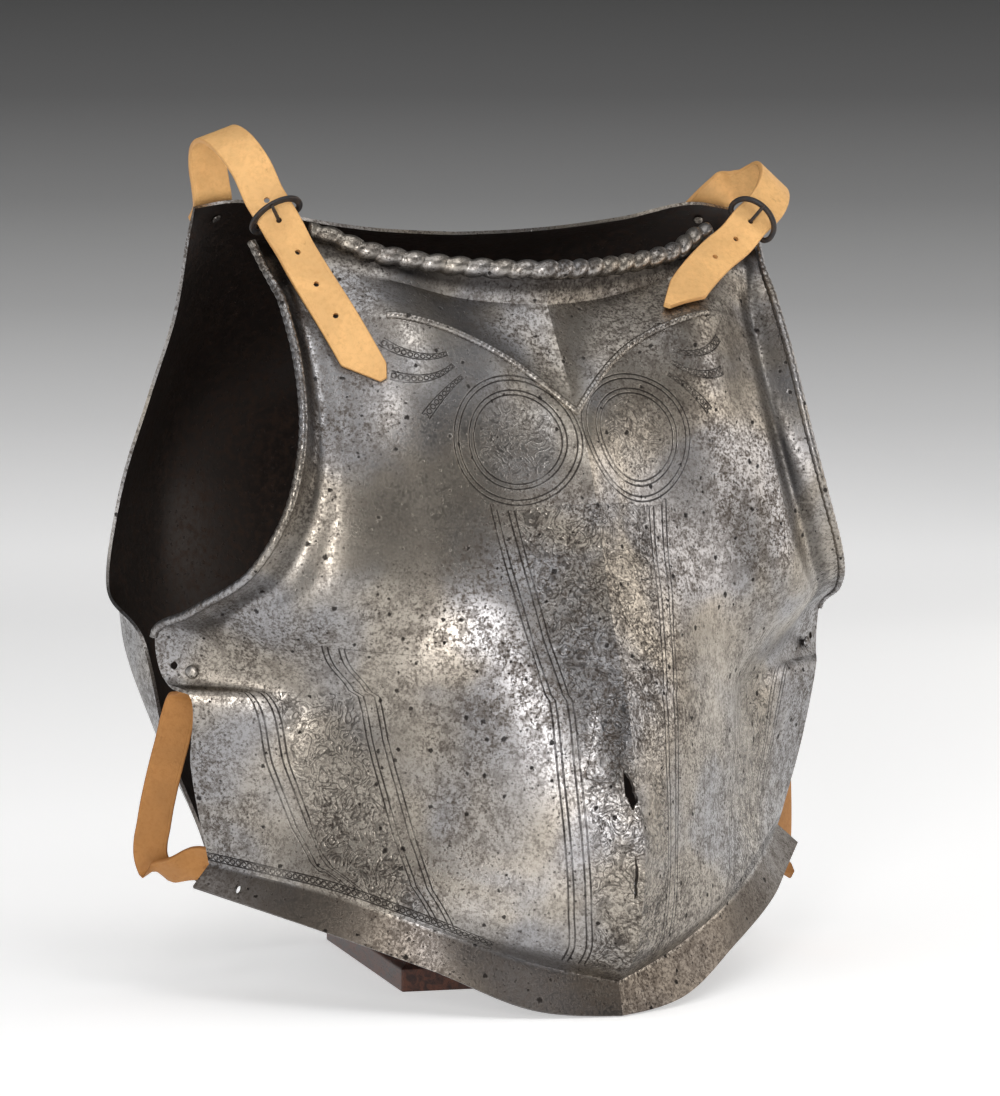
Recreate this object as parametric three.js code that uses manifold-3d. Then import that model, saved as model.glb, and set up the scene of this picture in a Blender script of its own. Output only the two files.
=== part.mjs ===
// Cuirass on a wooden stand: breastplate, backplate, leather shoulder and side straps, buckles.
// Millimetres, +Z up, the wearer faces -Y and the wearer's right is -X.
// The origin is the middle of the underside of the stand's base.

import * as THREE from 'three';
import { mergeVertices } from 'three/addons/utils/BufferGeometryUtils.js';
import Module from 'manifold-3d';

const wasm = await Module();
wasm.setup();

// Plates
const HALF_WIDTH = 190;          // chest, ridge to side edge
const BELLY_DEPTH = 167;         // side edges to the deepest point of the ridge
const BREAST_HEIGHT = 395;       // floor to the outer corner of the shoulder
const BREAST_THICKNESS = 2.2;
const BACK_HALF_WIDTH = 180;
const BACK_DEPTH = 190;
const BACK_HEIGHT = 415;
const BACK_THICKNESS = 1.8;
const BORDER_SINK = 7;           // depth of the channel inside the arm edges

// The cuirass stands this far in front of the stand's middle.
const STAND_SET_BACK = 52;

// Ornament that is raised in the breastplate
const NECK_ROPE_RADIUS = 5.4;
const NECK_ROPE_RELIEF = 1.4;
const NECK_ROPE_PITCH = 11.5;
const ARM_ROLL_RADIUS = 2.4;
const CORD_RADIUS = 2.0;

// Openings that wear and fitting left in the breastplate
const CRACK_REACH = 60;          // depth of the cutter behind the ridge
const FLANGE_HOLE = [2.4, 5];    // width and length
const EAR_HOLE_RADIUS = 1.8;

// Leather
const STRAP_WIDTH = 21;
const STRAP_THICKNESS = 2.8;
const STRAP_HOLE_RADIUS = 1.5;
const STRAP_HOLE_PITCH = 19.5;
const SIDE_STRAP_WIDTH = 18;
const SIDE_STRAP_THICKNESS = 2.2;

// Buckles
const BUCKLE_WIDTH = 30;         // outside the frame, across the strap
const BUCKLE_REACH = 15;         // pivot bar to the far side of the frame, middle to middle
const TONGUE_RADIUS = 1.1;
const CHAPE_WIDTH = 13;
const CHAPE_THICKNESS = 1.2;
const CHAPE_LENGTH = 24;         // pivot bar to its rivet
const BAR_RADIUS = 1.5;
const FRAME_TILT = 62;           // degrees between the frame and the strap

// Rivets
const RIVET_HEAD_RADIUS = 4.2;
const RIVET_HEAD_HEIGHT = 2.1;
const RIVET_SHANK_RADIUS = 1.5;
const RIVET_BACK_RADIUS = 2.8;
const RIVET_BACK_HEIGHT = 1;

// Stand
const BASE_WIDTH = 101;
const BASE_DEPTH = 180;
const BASE_PLINTH = 12;
const BASE_HEIGHT = 20;
const BASE_TURN = 12;            // degrees, clockwise from above
const POST_WIDTH = 26;
const BAR_HALF_LENGTH = 112;
const BAR_DEPTH = 34;
const BAR_HEIGHT = 20;
const BAR_TOP = 372;

const GAP = 0.3;
const FACET = 0.3;               // spare height over the flat facets of a curved piece

const SIDES = { right: -1, left: 1 };

const V = (x, y, z) => new THREE.Vector3(x, y, z);

// A smooth curve through points, evaluated by segment number and fraction. At a crease the curve
// may turn sharply. Tangents are weighted by the distances between the points.
function smoothCurve(points, creases = []) {
  const last = points.length - 1;
  const step = points.slice(1).map((p, i) => Math.max(p.distanceTo(points[i]), 1e-6));
  const slope = step.map((h, i) => points[i + 1].clone().sub(points[i]).divideScalar(h));
  const inner = (i) => slope[i - 1].clone().multiplyScalar(step[i])
    .add(slope[i].clone().multiplyScalar(step[i - 1])).divideScalar(step[i - 1] + step[i]);
  const isFree = (i) => i === 0 || i === last || creases.includes(i);
  const tangent = (i, seg) => {
    if (!isFree(i)) return inner(i);
    const other = i === seg ? seg + 1 : seg;
    if (isFree(other)) return slope[seg].clone();
    return slope[seg].clone().multiplyScalar(1.5).sub(inner(other).multiplyScalar(0.5));
  };
  return (t) => {
    const seg = Math.min(Math.floor(t), last - 1);
    const f = t - seg;
    const h = step[seg];
    const f2 = f * f;
    const f3 = f2 * f;
    return points[seg].clone().multiplyScalar(2 * f3 - 3 * f2 + 1)
      .add(tangent(seg, seg).multiplyScalar(h * (f3 - 2 * f2 + f)))
      .add(points[seg + 1].clone().multiplyScalar(3 * f2 - 2 * f3))
      .add(tangent(seg + 1, seg).multiplyScalar(h * (f3 - f2)));
  };
}

// Parameters that cut each segment of a curve into the given number of steps
function stepsOf(counts) {
  const out = counts.flatMap((n, seg) => Array.from({ length: n }, (_, k) => seg + k / n));
  return [...out, counts.length];
}

// Breastplate sections, from the waist up. Shares of HALF_WIDTH (x), BELLY_DEPTH (y, forward)
// and BREAST_HEIGHT (z). The band and the breast stations keep one x share each.
const BAND_X = 0.215;
const BREAST_X = 0.468;
const BREAST_SECTIONS = [
  // ridge y z       band y z       breast y z     border x y z           edge x y z          sink
  [[0.862, 0.002], [0.784, 0.011], [0.623, 0.063], [0.711, 0.404, 0.111], [0.957, 0.078, 0.158], 0],
  [[0.835, 0.045], [0.722, 0.070], [0.578, 0.117], [0.684, 0.365, 0.157], [0.900, 0.055, 0.184], 0],
  [[0.949, 0.091], [0.805, 0.104], [0.602, 0.140], [0.684, 0.362, 0.175], [0.908, 0.060, 0.197], 0],
  [[0.978, 0.132], [0.820, 0.142], [0.596, 0.167], [0.684, 0.350, 0.192], [0.916, 0.065, 0.213], 0],
  [[1.000, 0.225], [0.815, 0.228], [0.570, 0.233], [0.689, 0.320, 0.238], [0.932, 0.072, 0.241], 0],
  [[0.943, 0.316], [0.810, 0.316], [0.564, 0.316], [0.711, 0.299, 0.319], [0.967, 0.093, 0.316], 0],
  [[0.884, 0.413], [0.785, 0.413], [0.557, 0.413], [0.740, 0.272, 0.413], [0.994, 0.122, 0.418], 0],
  [[0.878, 0.420], [0.780, 0.420], [0.557, 0.420], [0.745, 0.270, 0.420], [1.022, 0.065, 0.425], 0],
  [[0.845, 0.456], [0.757, 0.452], [0.557, 0.448], [0.816, 0.275, 0.468], [1.048, 0.035, 0.486], 0.3],
  [[0.810, 0.492], [0.728, 0.486], [0.560, 0.484], [0.832, 0.365, 0.511], [1.010, 0.225, 0.523], 0.8],
  [[0.773, 0.537], [0.690, 0.537], [0.563, 0.537], [0.750, 0.480, 0.555], [0.905, 0.430, 0.581], 1],
  [[0.728, 0.603], [0.628, 0.603], [0.555, 0.608], [0.697, 0.499, 0.623], [0.831, 0.488, 0.653], 1],
  [[0.686, 0.663], [0.586, 0.663], [0.533, 0.684], [0.662, 0.465, 0.709], [0.779, 0.473, 0.747], 1],
  [[0.611, 0.742], [0.548, 0.759], [0.491, 0.797], [0.647, 0.371, 0.815], [0.762, 0.401, 0.838], 1],
  [[0.557, 0.777], [0.443, 0.861], [0.395, 0.904], [0.658, 0.275, 0.900], [0.763, 0.275, 0.927], 0.8],
  [[0.359, 0.916], [0.275, 0.924], [0.246, 0.953], [0.672, 0.204, 0.965], [0.775, 0.180, 0.966], 0.2],
  [[0.371, 0.962], [0.287, 0.966], [0.207, 0.985], [0.640, 0.115, 1.012], [0.789, 0.120, 0.999], 0],
];
const WAIST_ROW = 1;
const CORD_ROW = 14;
const GROOVE_ROW = 15;

function breastRow(section) {
  const [ridge, band, breast, border, edge, sink] = section;
  const at = (x, y, z) => V(x * HALF_WIDTH, -y * BELLY_DEPTH, z * BREAST_HEIGHT);
  const borderPoint = at(...border);
  const edgePoint = at(...edge);
  const channel = borderPoint.clone().lerp(edgePoint, 0.45);
  channel.y += sink * BORDER_SINK;
  return [
    at(0, ...ridge), at(BAND_X, ...band), at(BREAST_X, ...breast), borderPoint, channel, edgePoint,
  ];
}

// Backplate sections, from the lower lip up. Shares of BACK_HALF_WIDTH, BACK_DEPTH, BACK_HEIGHT.
const BACK_SECTIONS = [
  // spine y z       middle x y z           blade x y z            border x y z           edge x y z
  [[0.715, 0.123], [0.294, 0.705, 0.124], [0.567, 0.622, 0.127], [0.767, 0.460, 0.130], [0.858, 0.263, 0.134]],
  [[0.668, 0.152], [0.278, 0.658, 0.153], [0.533, 0.584, 0.155], [0.717, 0.442, 0.157], [0.811, 0.263, 0.159]],
  [[0.700, 0.190], [0.289, 0.689, 0.190], [0.550, 0.605, 0.190], [0.744, 0.450, 0.190], [0.836, 0.263, 0.191]],
  [[0.800, 0.301], [0.306, 0.805, 0.301], [0.600, 0.721, 0.301], [0.850, 0.511, 0.301], [0.939, 0.263, 0.301]],
  [[0.905, 0.434], [0.333, 0.926, 0.434], [0.656, 0.842, 0.434], [0.950, 0.563, 0.434], [1.011, 0.284, 0.443]],
  [[0.958, 0.518], [0.344, 0.984, 0.518], [0.667, 0.905, 0.518], [0.889, 0.705, 0.518], [0.991, 0.595, 0.507]],
  [[0.989, 0.627], [0.344, 1.016, 0.627], [0.656, 0.932, 0.627], [0.861, 0.721, 0.627], [0.958, 0.584, 0.617]],
  [[0.947, 0.747], [0.333, 0.968, 0.747], [0.622, 0.863, 0.747], [0.811, 0.621, 0.752], [0.914, 0.453, 0.754]],
  [[0.789, 0.855], [0.322, 0.789, 0.858], [0.583, 0.674, 0.863], [0.767, 0.484, 0.867], [0.892, 0.316, 0.858]],
  [[0.500, 0.937], [0.289, 0.484, 0.947], [0.544, 0.400, 0.964], [0.739, 0.274, 0.975], [0.900, 0.190, 0.964]],
  [[0.263, 0.964], [0.289, 0.247, 0.970], [0.544, 0.211, 0.984], [0.772, 0.145, 1.004], [0.900, 0.150, 0.995]],
];

function backRow([spine, ...rest]) {
  const at = (x, y, z) => V(x * BACK_HALF_WIDTH, y * BACK_DEPTH, z * BACK_HEIGHT);
  return [at(0, ...spine), ...rest.map((p) => at(...p))];
}

// A grid of points over a plate, right edge to left edge, one row for each parameter
function plateGrid(rows, columnSteps, rowSteps, creases) {
  const half = columnSteps.map((u) => {
    const column = smoothCurve(rows.map((row) => smoothCurve(row)(u)), creases);
    return rowSteps.map((v) => column(v));
  });
  const mirrored = half.slice(1).reverse()
    .map((column) => column.map((p) => V(-p.x, p.y, p.z)));
  return [...mirrored, ...half];
}

// Outward normals of a grid whose columns run upwards from right to left
function gridNormals(grid) {
  const at = (i, j) => grid[Math.min(Math.max(i, 0), grid.length - 1)][
    Math.min(Math.max(j, 0), grid[0].length - 1)];
  return grid.map((column, i) => column.map((_, j) => {
    const across = at(i + 1, j).clone().sub(at(i - 1, j));
    const up = at(i, j + 1).clone().sub(at(i, j - 1));
    return across.cross(up).normalize();
  }));
}

function solidOf(positions, triangles) {
  const geometry = new THREE.BufferGeometry();
  geometry.setAttribute('position', new THREE.Float32BufferAttribute(positions.flat(), 3));
  geometry.setIndex(triangles.flat());
  return geometry;
}

// A plate of even thickness behind a grid of outer points
function plateSolid(grid, thickness, outward) {
  const normals = gridNormals(grid);
  const rows = grid[0].length;
  const count = grid.length * rows;
  const outer = grid.flat();
  const inner = outer.map((p, k) => p.clone().addScaledVector(
    normals[Math.floor(k / rows)][k % rows], -thickness * outward));
  const id = (i, j) => i * rows + j;
  const triangles = [];
  const quad = (a, b, c, d) => triangles.push([a, b, c], [a, c, d]);
  for (let i = 0; i < grid.length - 1; i += 1) {
    // The right half is split along the other diagonals, so that the halves mirror each other.
    const isRight = i < (grid.length - 1) / 2;
    for (let j = 0; j < rows - 1; j += 1) {
      const face = [id(i, j), id(i + 1, j), id(i + 1, j + 1), id(i, j + 1)];
      if (isRight) face.push(face.shift());
      const [a, b, c, d] = face;
      quad(a, b, c, d);
      quad(count + a, count + d, count + c, count + b);
    }
    quad(id(i, 0), count + id(i, 0), count + id(i + 1, 0), id(i + 1, 0));
    const top = rows - 1;
    quad(id(i, top), id(i + 1, top), count + id(i + 1, top), count + id(i, top));
  }
  const lastColumn = grid.length - 1;
  for (let j = 0; j < rows - 1; j += 1) {
    quad(id(0, j), id(0, j + 1), count + id(0, j + 1), count + id(0, j));
    quad(id(lastColumn, j), count + id(lastColumn, j), count + id(lastColumn, j + 1), id(lastColumn, j + 1));
  }
  if (outward < 0) triangles.forEach((t) => t.reverse());
  return solidOf([...outer, ...inner].map((p) => p.toArray()), triangles);
}

const BREAST_COLUMN_STEPS = stepsOf([2, 2, 3, 2, 1]);
const BREAST_ROW_STEPS = stepsOf([1, 2, 1, 2, 2, 2, 1, 1, 1, 2, 2, 2, 2, 2, 1, 1]);
const breastRows = BREAST_SECTIONS.map(breastRow);
const breastGrid = plateGrid(
  breastRows, BREAST_COLUMN_STEPS, BREAST_ROW_STEPS, [WAIST_ROW, CORD_ROW, GROOVE_ROW]);

const BACK_COLUMN_STEPS = stepsOf([2, 2, 3, 2]);
const BACK_ROW_STEPS = stepsOf([1, 1, 1, 2, 2, 2, 2, 2, 2, 2]);
const BACK_CREASES = [1];
const backRows = BACK_SECTIONS.map(backRow);
const backGrid = plateGrid(backRows, BACK_COLUMN_STEPS, BACK_ROW_STEPS, BACK_CREASES);

// A point of a plate by station and section number, on the given side
function platePoint(rows, creases, side, station, section) {
  const p = smoothCurve(rows.map((row) => smoothCurve(row)(station)), creases)(section);
  return V(side * p.x, p.y, p.z);
}

const BREAST_CREASES = [WAIST_ROW, CORD_ROW, GROOVE_ROW];
const onBreast = (side, station, section) => platePoint(
  breastRows, BREAST_CREASES, side, station, section);
const onBack = (side, station, section) => platePoint(backRows, BACK_CREASES, side, station, section);

// Booleans

function toManifold(geometry) {
  const bare = geometry.clone();
  Object.keys(bare.attributes).filter((name) => name !== 'position')
    .forEach((name) => bare.deleteAttribute(name));
  const merged = mergeVertices(bare, 1e-4);
  return new wasm.Manifold(new wasm.Mesh({
    numProp: 3,
    vertProperties: Float32Array.from(merged.attributes.position.array),
    triVerts: Uint32Array.from(merged.index.array),
  }));
}

function fromManifold(manifold) {
  const mesh = manifold.getMesh();
  const geometry = new THREE.BufferGeometry();
  geometry.setAttribute('position', new THREE.BufferAttribute(mesh.vertProperties, 3));
  geometry.setIndex(new THREE.BufferAttribute(mesh.triVerts, 1));
  return geometry;
}

const fuse = (base, ...others) => fromManifold(
  others.reduce((sum, g) => sum.add(toManifold(g)), toManifold(base)));
const cut = (base, ...others) => fromManifold(
  others.reduce((sum, g) => sum.subtract(toManifold(g)), toManifold(base)));

// A closed bar swept along centres. Each ring is a list of [along across, along normal] offsets.
function sweptBar(centres, acrosses, rings, closed = false) {
  const count = centres.length;
  const last = count - 1;
  const sides = rings[0].length;
  const points = centres.flatMap((centre, i) => {
    const after = closed ? centres[(i + 1) % count] : centres[Math.min(i + 1, last)];
    const before = closed ? centres[(i + last) % count] : centres[Math.max(i - 1, 0)];
    const ahead = after.clone().sub(before).normalize();
    const across = acrosses[i].clone().addScaledVector(ahead, -acrosses[i].dot(ahead)).normalize();
    const normal = ahead.clone().cross(across);
    return rings[i].map(([a, n]) => centre.clone()
      .addScaledVector(across, a).addScaledVector(normal, n));
  });
  const triangles = [];
  for (let i = 0; i < (closed ? count : last); i += 1) {
    const next = ((i + 1) % count) * sides;
    for (let k = 0; k < sides; k += 1) {
      const j = (k + 1) % sides;
      triangles.push([i * sides + k, i * sides + j, next + j], [i * sides + k, next + j, next + k]);
    }
  }
  for (let k = 1; k < sides - 1 && !closed; k += 1) {
    triangles.push([0, k + 1, k], [last * sides, last * sides + k, last * sides + k + 1]);
  }
  return solidOf(points.map((p) => p.toArray()), triangles);
}

const roundRing = (radius, sides) => Array.from({ length: sides }, (_, k) => {
  const angle = (2 * Math.PI * k) / sides;
  return [radius * Math.cos(angle), radius * Math.sin(angle)];
});

// The section of a flat band between two edges
function flatRing(low, high, thickness) {
  const t = thickness / 2;
  return [[high, -t], [high, t], [low, t], [low, -t]];
}

// The same with its corners taken off
function bandRing(low, high, thickness, bevel) {
  const t = thickness / 2;
  return [
    [high, -t + bevel], [high, t - bevel], [high - bevel, t], [low + bevel, t],
    [low, t - bevel], [low, -t + bevel], [low + bevel, -t], [high - bevel, -t],
  ];
}

// Points at even distances along a curve given by many samples
function evenly(samples, count) {
  const reach = [0];
  samples.slice(1).forEach((p, i) => reach.push(reach[i] + p.distanceTo(samples[i])));
  const total = reach[reach.length - 1];
  return Array.from({ length: count + 1 }, (_, k) => {
    const want = (total * k) / count;
    const i = Math.min(Math.max(reach.findIndex((r) => r >= want), 1), reach.length - 1);
    const f = (want - reach[i - 1]) / (reach[i] - reach[i - 1]);
    return samples[i - 1].clone().lerp(samples[i], f);
  });
}

const lengthOf = (samples) => samples.slice(1)
  .reduce((sum, p, i) => sum + p.distanceTo(samples[i]), 0);

const range = (from, to, count) => Array.from(
  { length: count + 1 }, (_, k) => from + ((to - from) * k) / count);

const UP = V(0, 0, 1);
const BACKWARD = V(0, 1, 0);

// Roped neck edge: lobes that wind round a bar, from shoulder to shoulder
const ROPE_END_STATION = 2.9;
const ROPE_SIDES = 6;
const RINGS_PER_LOBE = 4;

const topSection = BREAST_SECTIONS.length - 1;

function neckRope() {
  const samples = range(-ROPE_END_STATION, ROPE_END_STATION, 120)
    .map((u) => onBreast(Math.sign(u) || 1, Math.abs(u), topSection));
  const lobes = Math.round(lengthOf(samples) / NECK_ROPE_PITCH);
  const centres = evenly(samples, lobes * RINGS_PER_LOBE)
    .map((p) => p.clone().add(V(0, -BREAST_THICKNESS / 2, 0)));
  const rings = centres.map((_, i) => roundRing(1, ROPE_SIDES).map(([a, n]) => {
    const phase = i / RINGS_PER_LOBE + Math.atan2(n, a) / (2 * Math.PI);
    const lobe = Math.abs(Math.cos(Math.PI * phase));
    const radius = NECK_ROPE_RADIUS - NECK_ROPE_RELIEF * (1 - lobe);
    return [a * radius, n * radius];
  }));
  return sweptBar(centres, centres.map(() => UP), rings);
}

// Rolled arm edge, from the ear at the armpit to the shoulder
const EAR_SECTION = 8;
const EDGE_STATION = 5;
const ROLL_STEPS = 20;

function armRoll(side) {
  const samples = range(EAR_SECTION, topSection, 80).map((v) => onBreast(side, EDGE_STATION, v));
  const centres = evenly(samples, ROLL_STEPS).map((p) => p.add(V(0, BREAST_THICKNESS / 2, 0)));
  const ring = roundRing(ARM_ROLL_RADIUS, 5);
  return sweptBar(centres, centres.map(() => BACKWARD), centres.map(() => ring));
}

// Raised cord on each side of the ridge that makes the V below the neck
const CORD_END_STATION = 2.15;
const CORD_STEPS = 8;

function neckCord() {
  const samples = range(-CORD_END_STATION, CORD_END_STATION, 120)
    .map((u) => onBreast(Math.sign(u) || 1, Math.abs(u), CORD_ROW));
  const centres = evenly(samples, CORD_STEPS * 2);
  const ring = roundRing(CORD_RADIUS, 5);
  return sweptBar(centres, centres.map(() => BACKWARD), centres.map(() => ring));
}

// A cutter through the plate along Y, from its outline in front view
function frontCutter(outline, depthFrom, depth) {
  const shape = new THREE.Shape(outline.map(([x, z]) => new THREE.Vector2(x, z)));
  const geometry = new THREE.ExtrudeGeometry(shape, { depth, bevelEnabled: false });
  return geometry.rotateX(Math.PI / 2).translate(0, depthFrom + depth, 0);
}

// The cracks beside the ridge: x in mm, z as a share of BREAST_HEIGHT
const UPPER_CRACK = [
  [-5.4, 0.324], [-2.2, 0.312], [-0.6, 0.287], [-3.4, 0.275], [-5.8, 0.292],
];
const LOWER_CRACK = [
  [-4.8, 0.214], [-2.6, 0.205], [-1.8, 0.168], [-5.2, 0.161], [-7.6, 0.176], [-6.2, 0.200],
];

const crackCutter = (outline) => frontCutter(
  outline.map(([x, share]) => [x, share * BREAST_HEIGHT]),
  -BELLY_DEPTH - CRACK_REACH / 2, CRACK_REACH);

// Places a shape that is made along +Z at a point, pointing along a direction
function placed(geometry, point, direction) {
  const turn = new THREE.Quaternion().setFromUnitVectors(UP, direction.clone().normalize());
  return geometry.applyQuaternion(turn).translate(point.x, point.y, point.z);
}

function pinThrough(point, direction, radius, length, sides = 12) {
  const pin = new THREE.CylinderGeometry(radius, radius, length, sides).rotateX(Math.PI / 2);
  return placed(pin, point, direction);
}

const steel = new THREE.MeshStandardMaterial({ color: 0x8a857f, roughness: 0.4, metalness: 1 });
const darkSteel = new THREE.MeshStandardMaterial({ color: 0x3a3735, roughness: 0.6, metalness: 1 });
const leather = new THREE.MeshStandardMaterial({ color: 0xd9a763, roughness: 0.7, metalness: 0 });
const sideLeather = new THREE.MeshStandardMaterial({ color: 0xb07a3c, roughness: 0.7, metalness: 0 });
const wood = new THREE.MeshStandardMaterial({ color: 0x3a1d14, roughness: 0.5, metalness: 0 });

const group = new THREE.Group();
const cuirass = new THREE.Group();
cuirass.position.set(0, -STAND_SET_BACK, 0);
group.add(cuirass);

function piece(parent, name, geometry, material) {
  const mesh = new THREE.Mesh(geometry, material);
  mesh.name = name;
  parent.add(mesh);
  return mesh;
}

// Outward direction of a plate at a station and section
function plateNormal(onPlate, side, station, section, outward) {
  const step = 0.04;
  const across = onPlate(side, station + step, section).sub(onPlate(side, station - step, section));
  const up = onPlate(side, station, section + step).sub(onPlate(side, station, section - step));
  return across.cross(up).normalize().multiplyScalar(side * outward);
}

const tidy = (geometry) => fromManifold(toManifold(geometry));

// A rivet whose head rests on the surface at a point; grip is what it holds together
function rivet(point, direction, grip, head = RIVET_HEAD_RADIUS, height = RIVET_HEAD_HEIGHT) {
  const back = -grip - RIVET_BACK_HEIGHT;
  const profile = [
    [0, back], [RIVET_BACK_RADIUS, back], [RIVET_BACK_RADIUS, -grip],
    [RIVET_SHANK_RADIUS, -grip], [RIVET_SHANK_RADIUS, 0], [head, 0],
    [head * 0.75, height * 0.7], [0, height],
  ].map(([x, y]) => new THREE.Vector2(x, y));
  const turned = new THREE.LatheGeometry(profile, 8).rotateX(Math.PI / 2);
  return tidy(placed(turned, point, direction));
}

const rivetHole = (point, direction, length = 26) => pinThrough(
  point, direction, RIVET_SHANK_RADIUS * 1.1 + GAP, length, 8);

// Height of a shape above a point along a direction, looked at from well outside
const caster = new THREE.Raycaster();

function heightAbove(meshes, point, direction) {
  const far = 40;
  caster.set(point.clone().addScaledVector(direction, far), direction.clone().negate());
  const hits = caster.intersectObjects(meshes, false);
  return hits.length ? far - hits[0].distance : -Infinity;
}

function probe(geometry) {
  const mesh = new THREE.Mesh(geometry, new THREE.MeshBasicMaterial({ side: THREE.DoubleSide }));
  mesh.updateMatrixWorld(true);
  return mesh;
}

// The same for a round seat: the highest of its middle and its rim
function seatHeight(meshes, point, direction, radius) {
  const turn = new THREE.Quaternion().setFromUnitVectors(UP, direction);
  const rim = range(0, 2 * Math.PI, 8).map((angle) => V(
    radius * Math.cos(angle), radius * Math.sin(angle), 0).applyQuaternion(turn).add(point));
  return Math.max(...[point, ...rim].map((p) => heightAbove(meshes, p, direction)));
}

// Moves the sections of a band outward until it lies clear of the shapes below it
function liftClear(band, thickness, meshes, from, to) {
  const last = band.centres.length - 1;
  const lift = band.centres.map((centre, i) => {
    if (i < from || i > to) return 0;
    const ahead = band.centres[Math.min(i + 1, last)].clone()
      .sub(band.centres[Math.max(i - 1, 0)]).normalize();
    const across = band.acrosses[i].clone().addScaledVector(ahead, -band.acrosses[i].dot(ahead))
      .normalize();
    const edges = band.rings[i].map(([a]) => a);
    const low = Math.min(...edges);
    const high = Math.max(...edges);
    const need = range(low, high, 8).flatMap((a) => [-3, -1.5, 0, 1.5, 3].map((f) => heightAbove(
      meshes, centre.clone().addScaledVector(across, a).addScaledVector(ahead, f),
      band.normals[i])));
    return Math.max(0, Math.max(...need) + thickness / 2 + GAP + FACET);
  });
  for (let pass = 0; pass < 12; pass += 1) {
    for (let i = Math.max(from, 1); i <= Math.min(to, last - 1); i += 1) {
      lift[i] = Math.max(lift[i], (lift[i - 1] + lift[i + 1]) / 2);
    }
  }
  band.centres.forEach((centre, i) => centre.addScaledVector(band.normals[i], lift[i]));
}

// Breastplate
const breastShell = fuse(
  plateSolid(breastGrid, BREAST_THICKNESS, 1), neckRope(), armRoll(SIDES.right), armRoll(SIDES.left),
  neckCord());
const backShell = plateSolid(backGrid, BACK_THICKNESS, -1);
const breastProbe = probe(breastShell);
const backProbe = probe(backShell);

const EAR_HOLE = [4.75, 7.45];
const FLANGE_SLOT = [4.42, 0.42];

function throughPlate(side, [station, section], geometry) {
  return placed(
    geometry, onBreast(side, station, section), plateNormal(onBreast, side, station, section, 1));
}

const breastCutters = [
  crackCutter(UPPER_CRACK), crackCutter(LOWER_CRACK),
  throughPlate(SIDES.right, FLANGE_SLOT, new THREE.CylinderGeometry(0.5, 0.5, 16, 10)
    .rotateX(Math.PI / 2).scale(...FLANGE_HOLE, 1)),
  ...Object.values(SIDES).map((side) => throughPlate(side, EAR_HOLE, new THREE.CylinderGeometry(
    EAR_HOLE_RADIUS, EAR_HOLE_RADIUS, 16, 12).rotateX(Math.PI / 2))),
];
const backCutters = [];

// Everything below that comes in a right and a left form is shaped at +X and turned over for the
// right side.
function sided(side, geometry) {
  if (side > 0) return geometry;
  const flipped = tidyIndex(geometry).scale(-1, 1, 1);
  const index = flipped.index.array;
  for (let i = 0; i < index.length; i += 3) [index[i], index[i + 1]] = [index[i + 1], index[i]];
  return flipped;
}

function tidyIndex(geometry) {
  const bare = geometry.clone();
  Object.keys(bare.attributes).filter((name) => name !== 'position')
    .forEach((name) => bare.deleteAttribute(name));
  return mergeVertices(bare, 1e-4);
}

const sizeOf = ([x, y, z]) => V(x * HALF_WIDTH, y * BELLY_DEPTH, z * BREAST_HEIGHT);

// Shoulder straps: the point where the tongue comes through the strap, the directions along the
// strap and out of it there, the loop over the shoulder (points and directions across the strap),
// and the tail (station, section and height over the breastplate). Points are shares of
// HALF_WIDTH, BELLY_DEPTH and BREAST_HEIGHT; holes are counted in pitches from the tongue.
const SHOULDER = {
  right: {
    tongueHole: [0.735, -0.184, 1.027],
    along: [-0.402, -0.352, -0.845],
    outward: [0.418, -0.892, 0.172],
    frame: [1.8, 3.7],
    loop: [
      [[0.797, 0.171, 1.064], [0.98, 0.03, -0.16]],
      [[0.810, 0.168, 1.097], [0.97, 0.03, -0.22]],
      [[0.824, 0.123, 1.130], [0.95, 0.03, -0.30]],
      [[0.829, 0.048, 1.140], [0.93, 0.05, -0.35]],
      [[0.815, -0.048, 1.126], [0.90, 0.10, -0.42]],
      [[0.783, -0.113, 1.090], [0.84, 0.18, -0.52]],
    ],
    tail: [[3.47, 15.2, 7.9], [2.94, 14.65, 5.8], [2.77, 14.1, 4.6], [2.46, 13.1, 2.8]],
    tip: { outer: 17, inner: 7, at: -5 },
    holes: [-0.62, 1, 2, 3],
    chapeRivet: [3.22, 14.95],
  },
  left: {
    tongueHole: [0.735, -0.184, 1.027],
    along: [-0.79, -0.27, -0.55],
    outward: [-0.056, -0.862, 0.503],
    frame: [3, 3],
    loop: [
      [[0.800, 0.176, 1.064], [0.98, 0.03, -0.18]],
      [[0.836, 0.168, 1.075], [0.92, 0.00, -0.38]],
      [[0.884, 0.114, 1.081], [0.80, -0.05, -0.58]],
      [[0.900, 0.030, 1.092], [0.75, -0.10, -0.65]],
      [[0.879, -0.054, 1.082], [0.70, -0.22, -0.68]],
      [[0.836, -0.120, 1.061], [0.66, -0.34, -0.68]],
    ],
    tail: [[3.55, 15.6, 7.0], [2.64, 15.18, 5.2], [2.18, 14.75, 4.2], [1.69, 14.17, 3.0]],
    tip: { outer: 20, inner: 20, at: -5 },
    holes: [0.75, 1.9],
    chapeRivet: [3.0, 15.3],
  },
};
const ROOT = [[3.42, 9.05], [3.42, 9.62]];      // station and section under the lower end
const ROOT_RIVET = [3.42, 9.4];

const TONGUE_AHEAD = 0.7;                       // from the pivot bar to the hole of the tongue
const WRAP_RADIUS = BAR_RADIUS * 1.1 + GAP + 0.1 + CHAPE_THICKNESS / 2;

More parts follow.
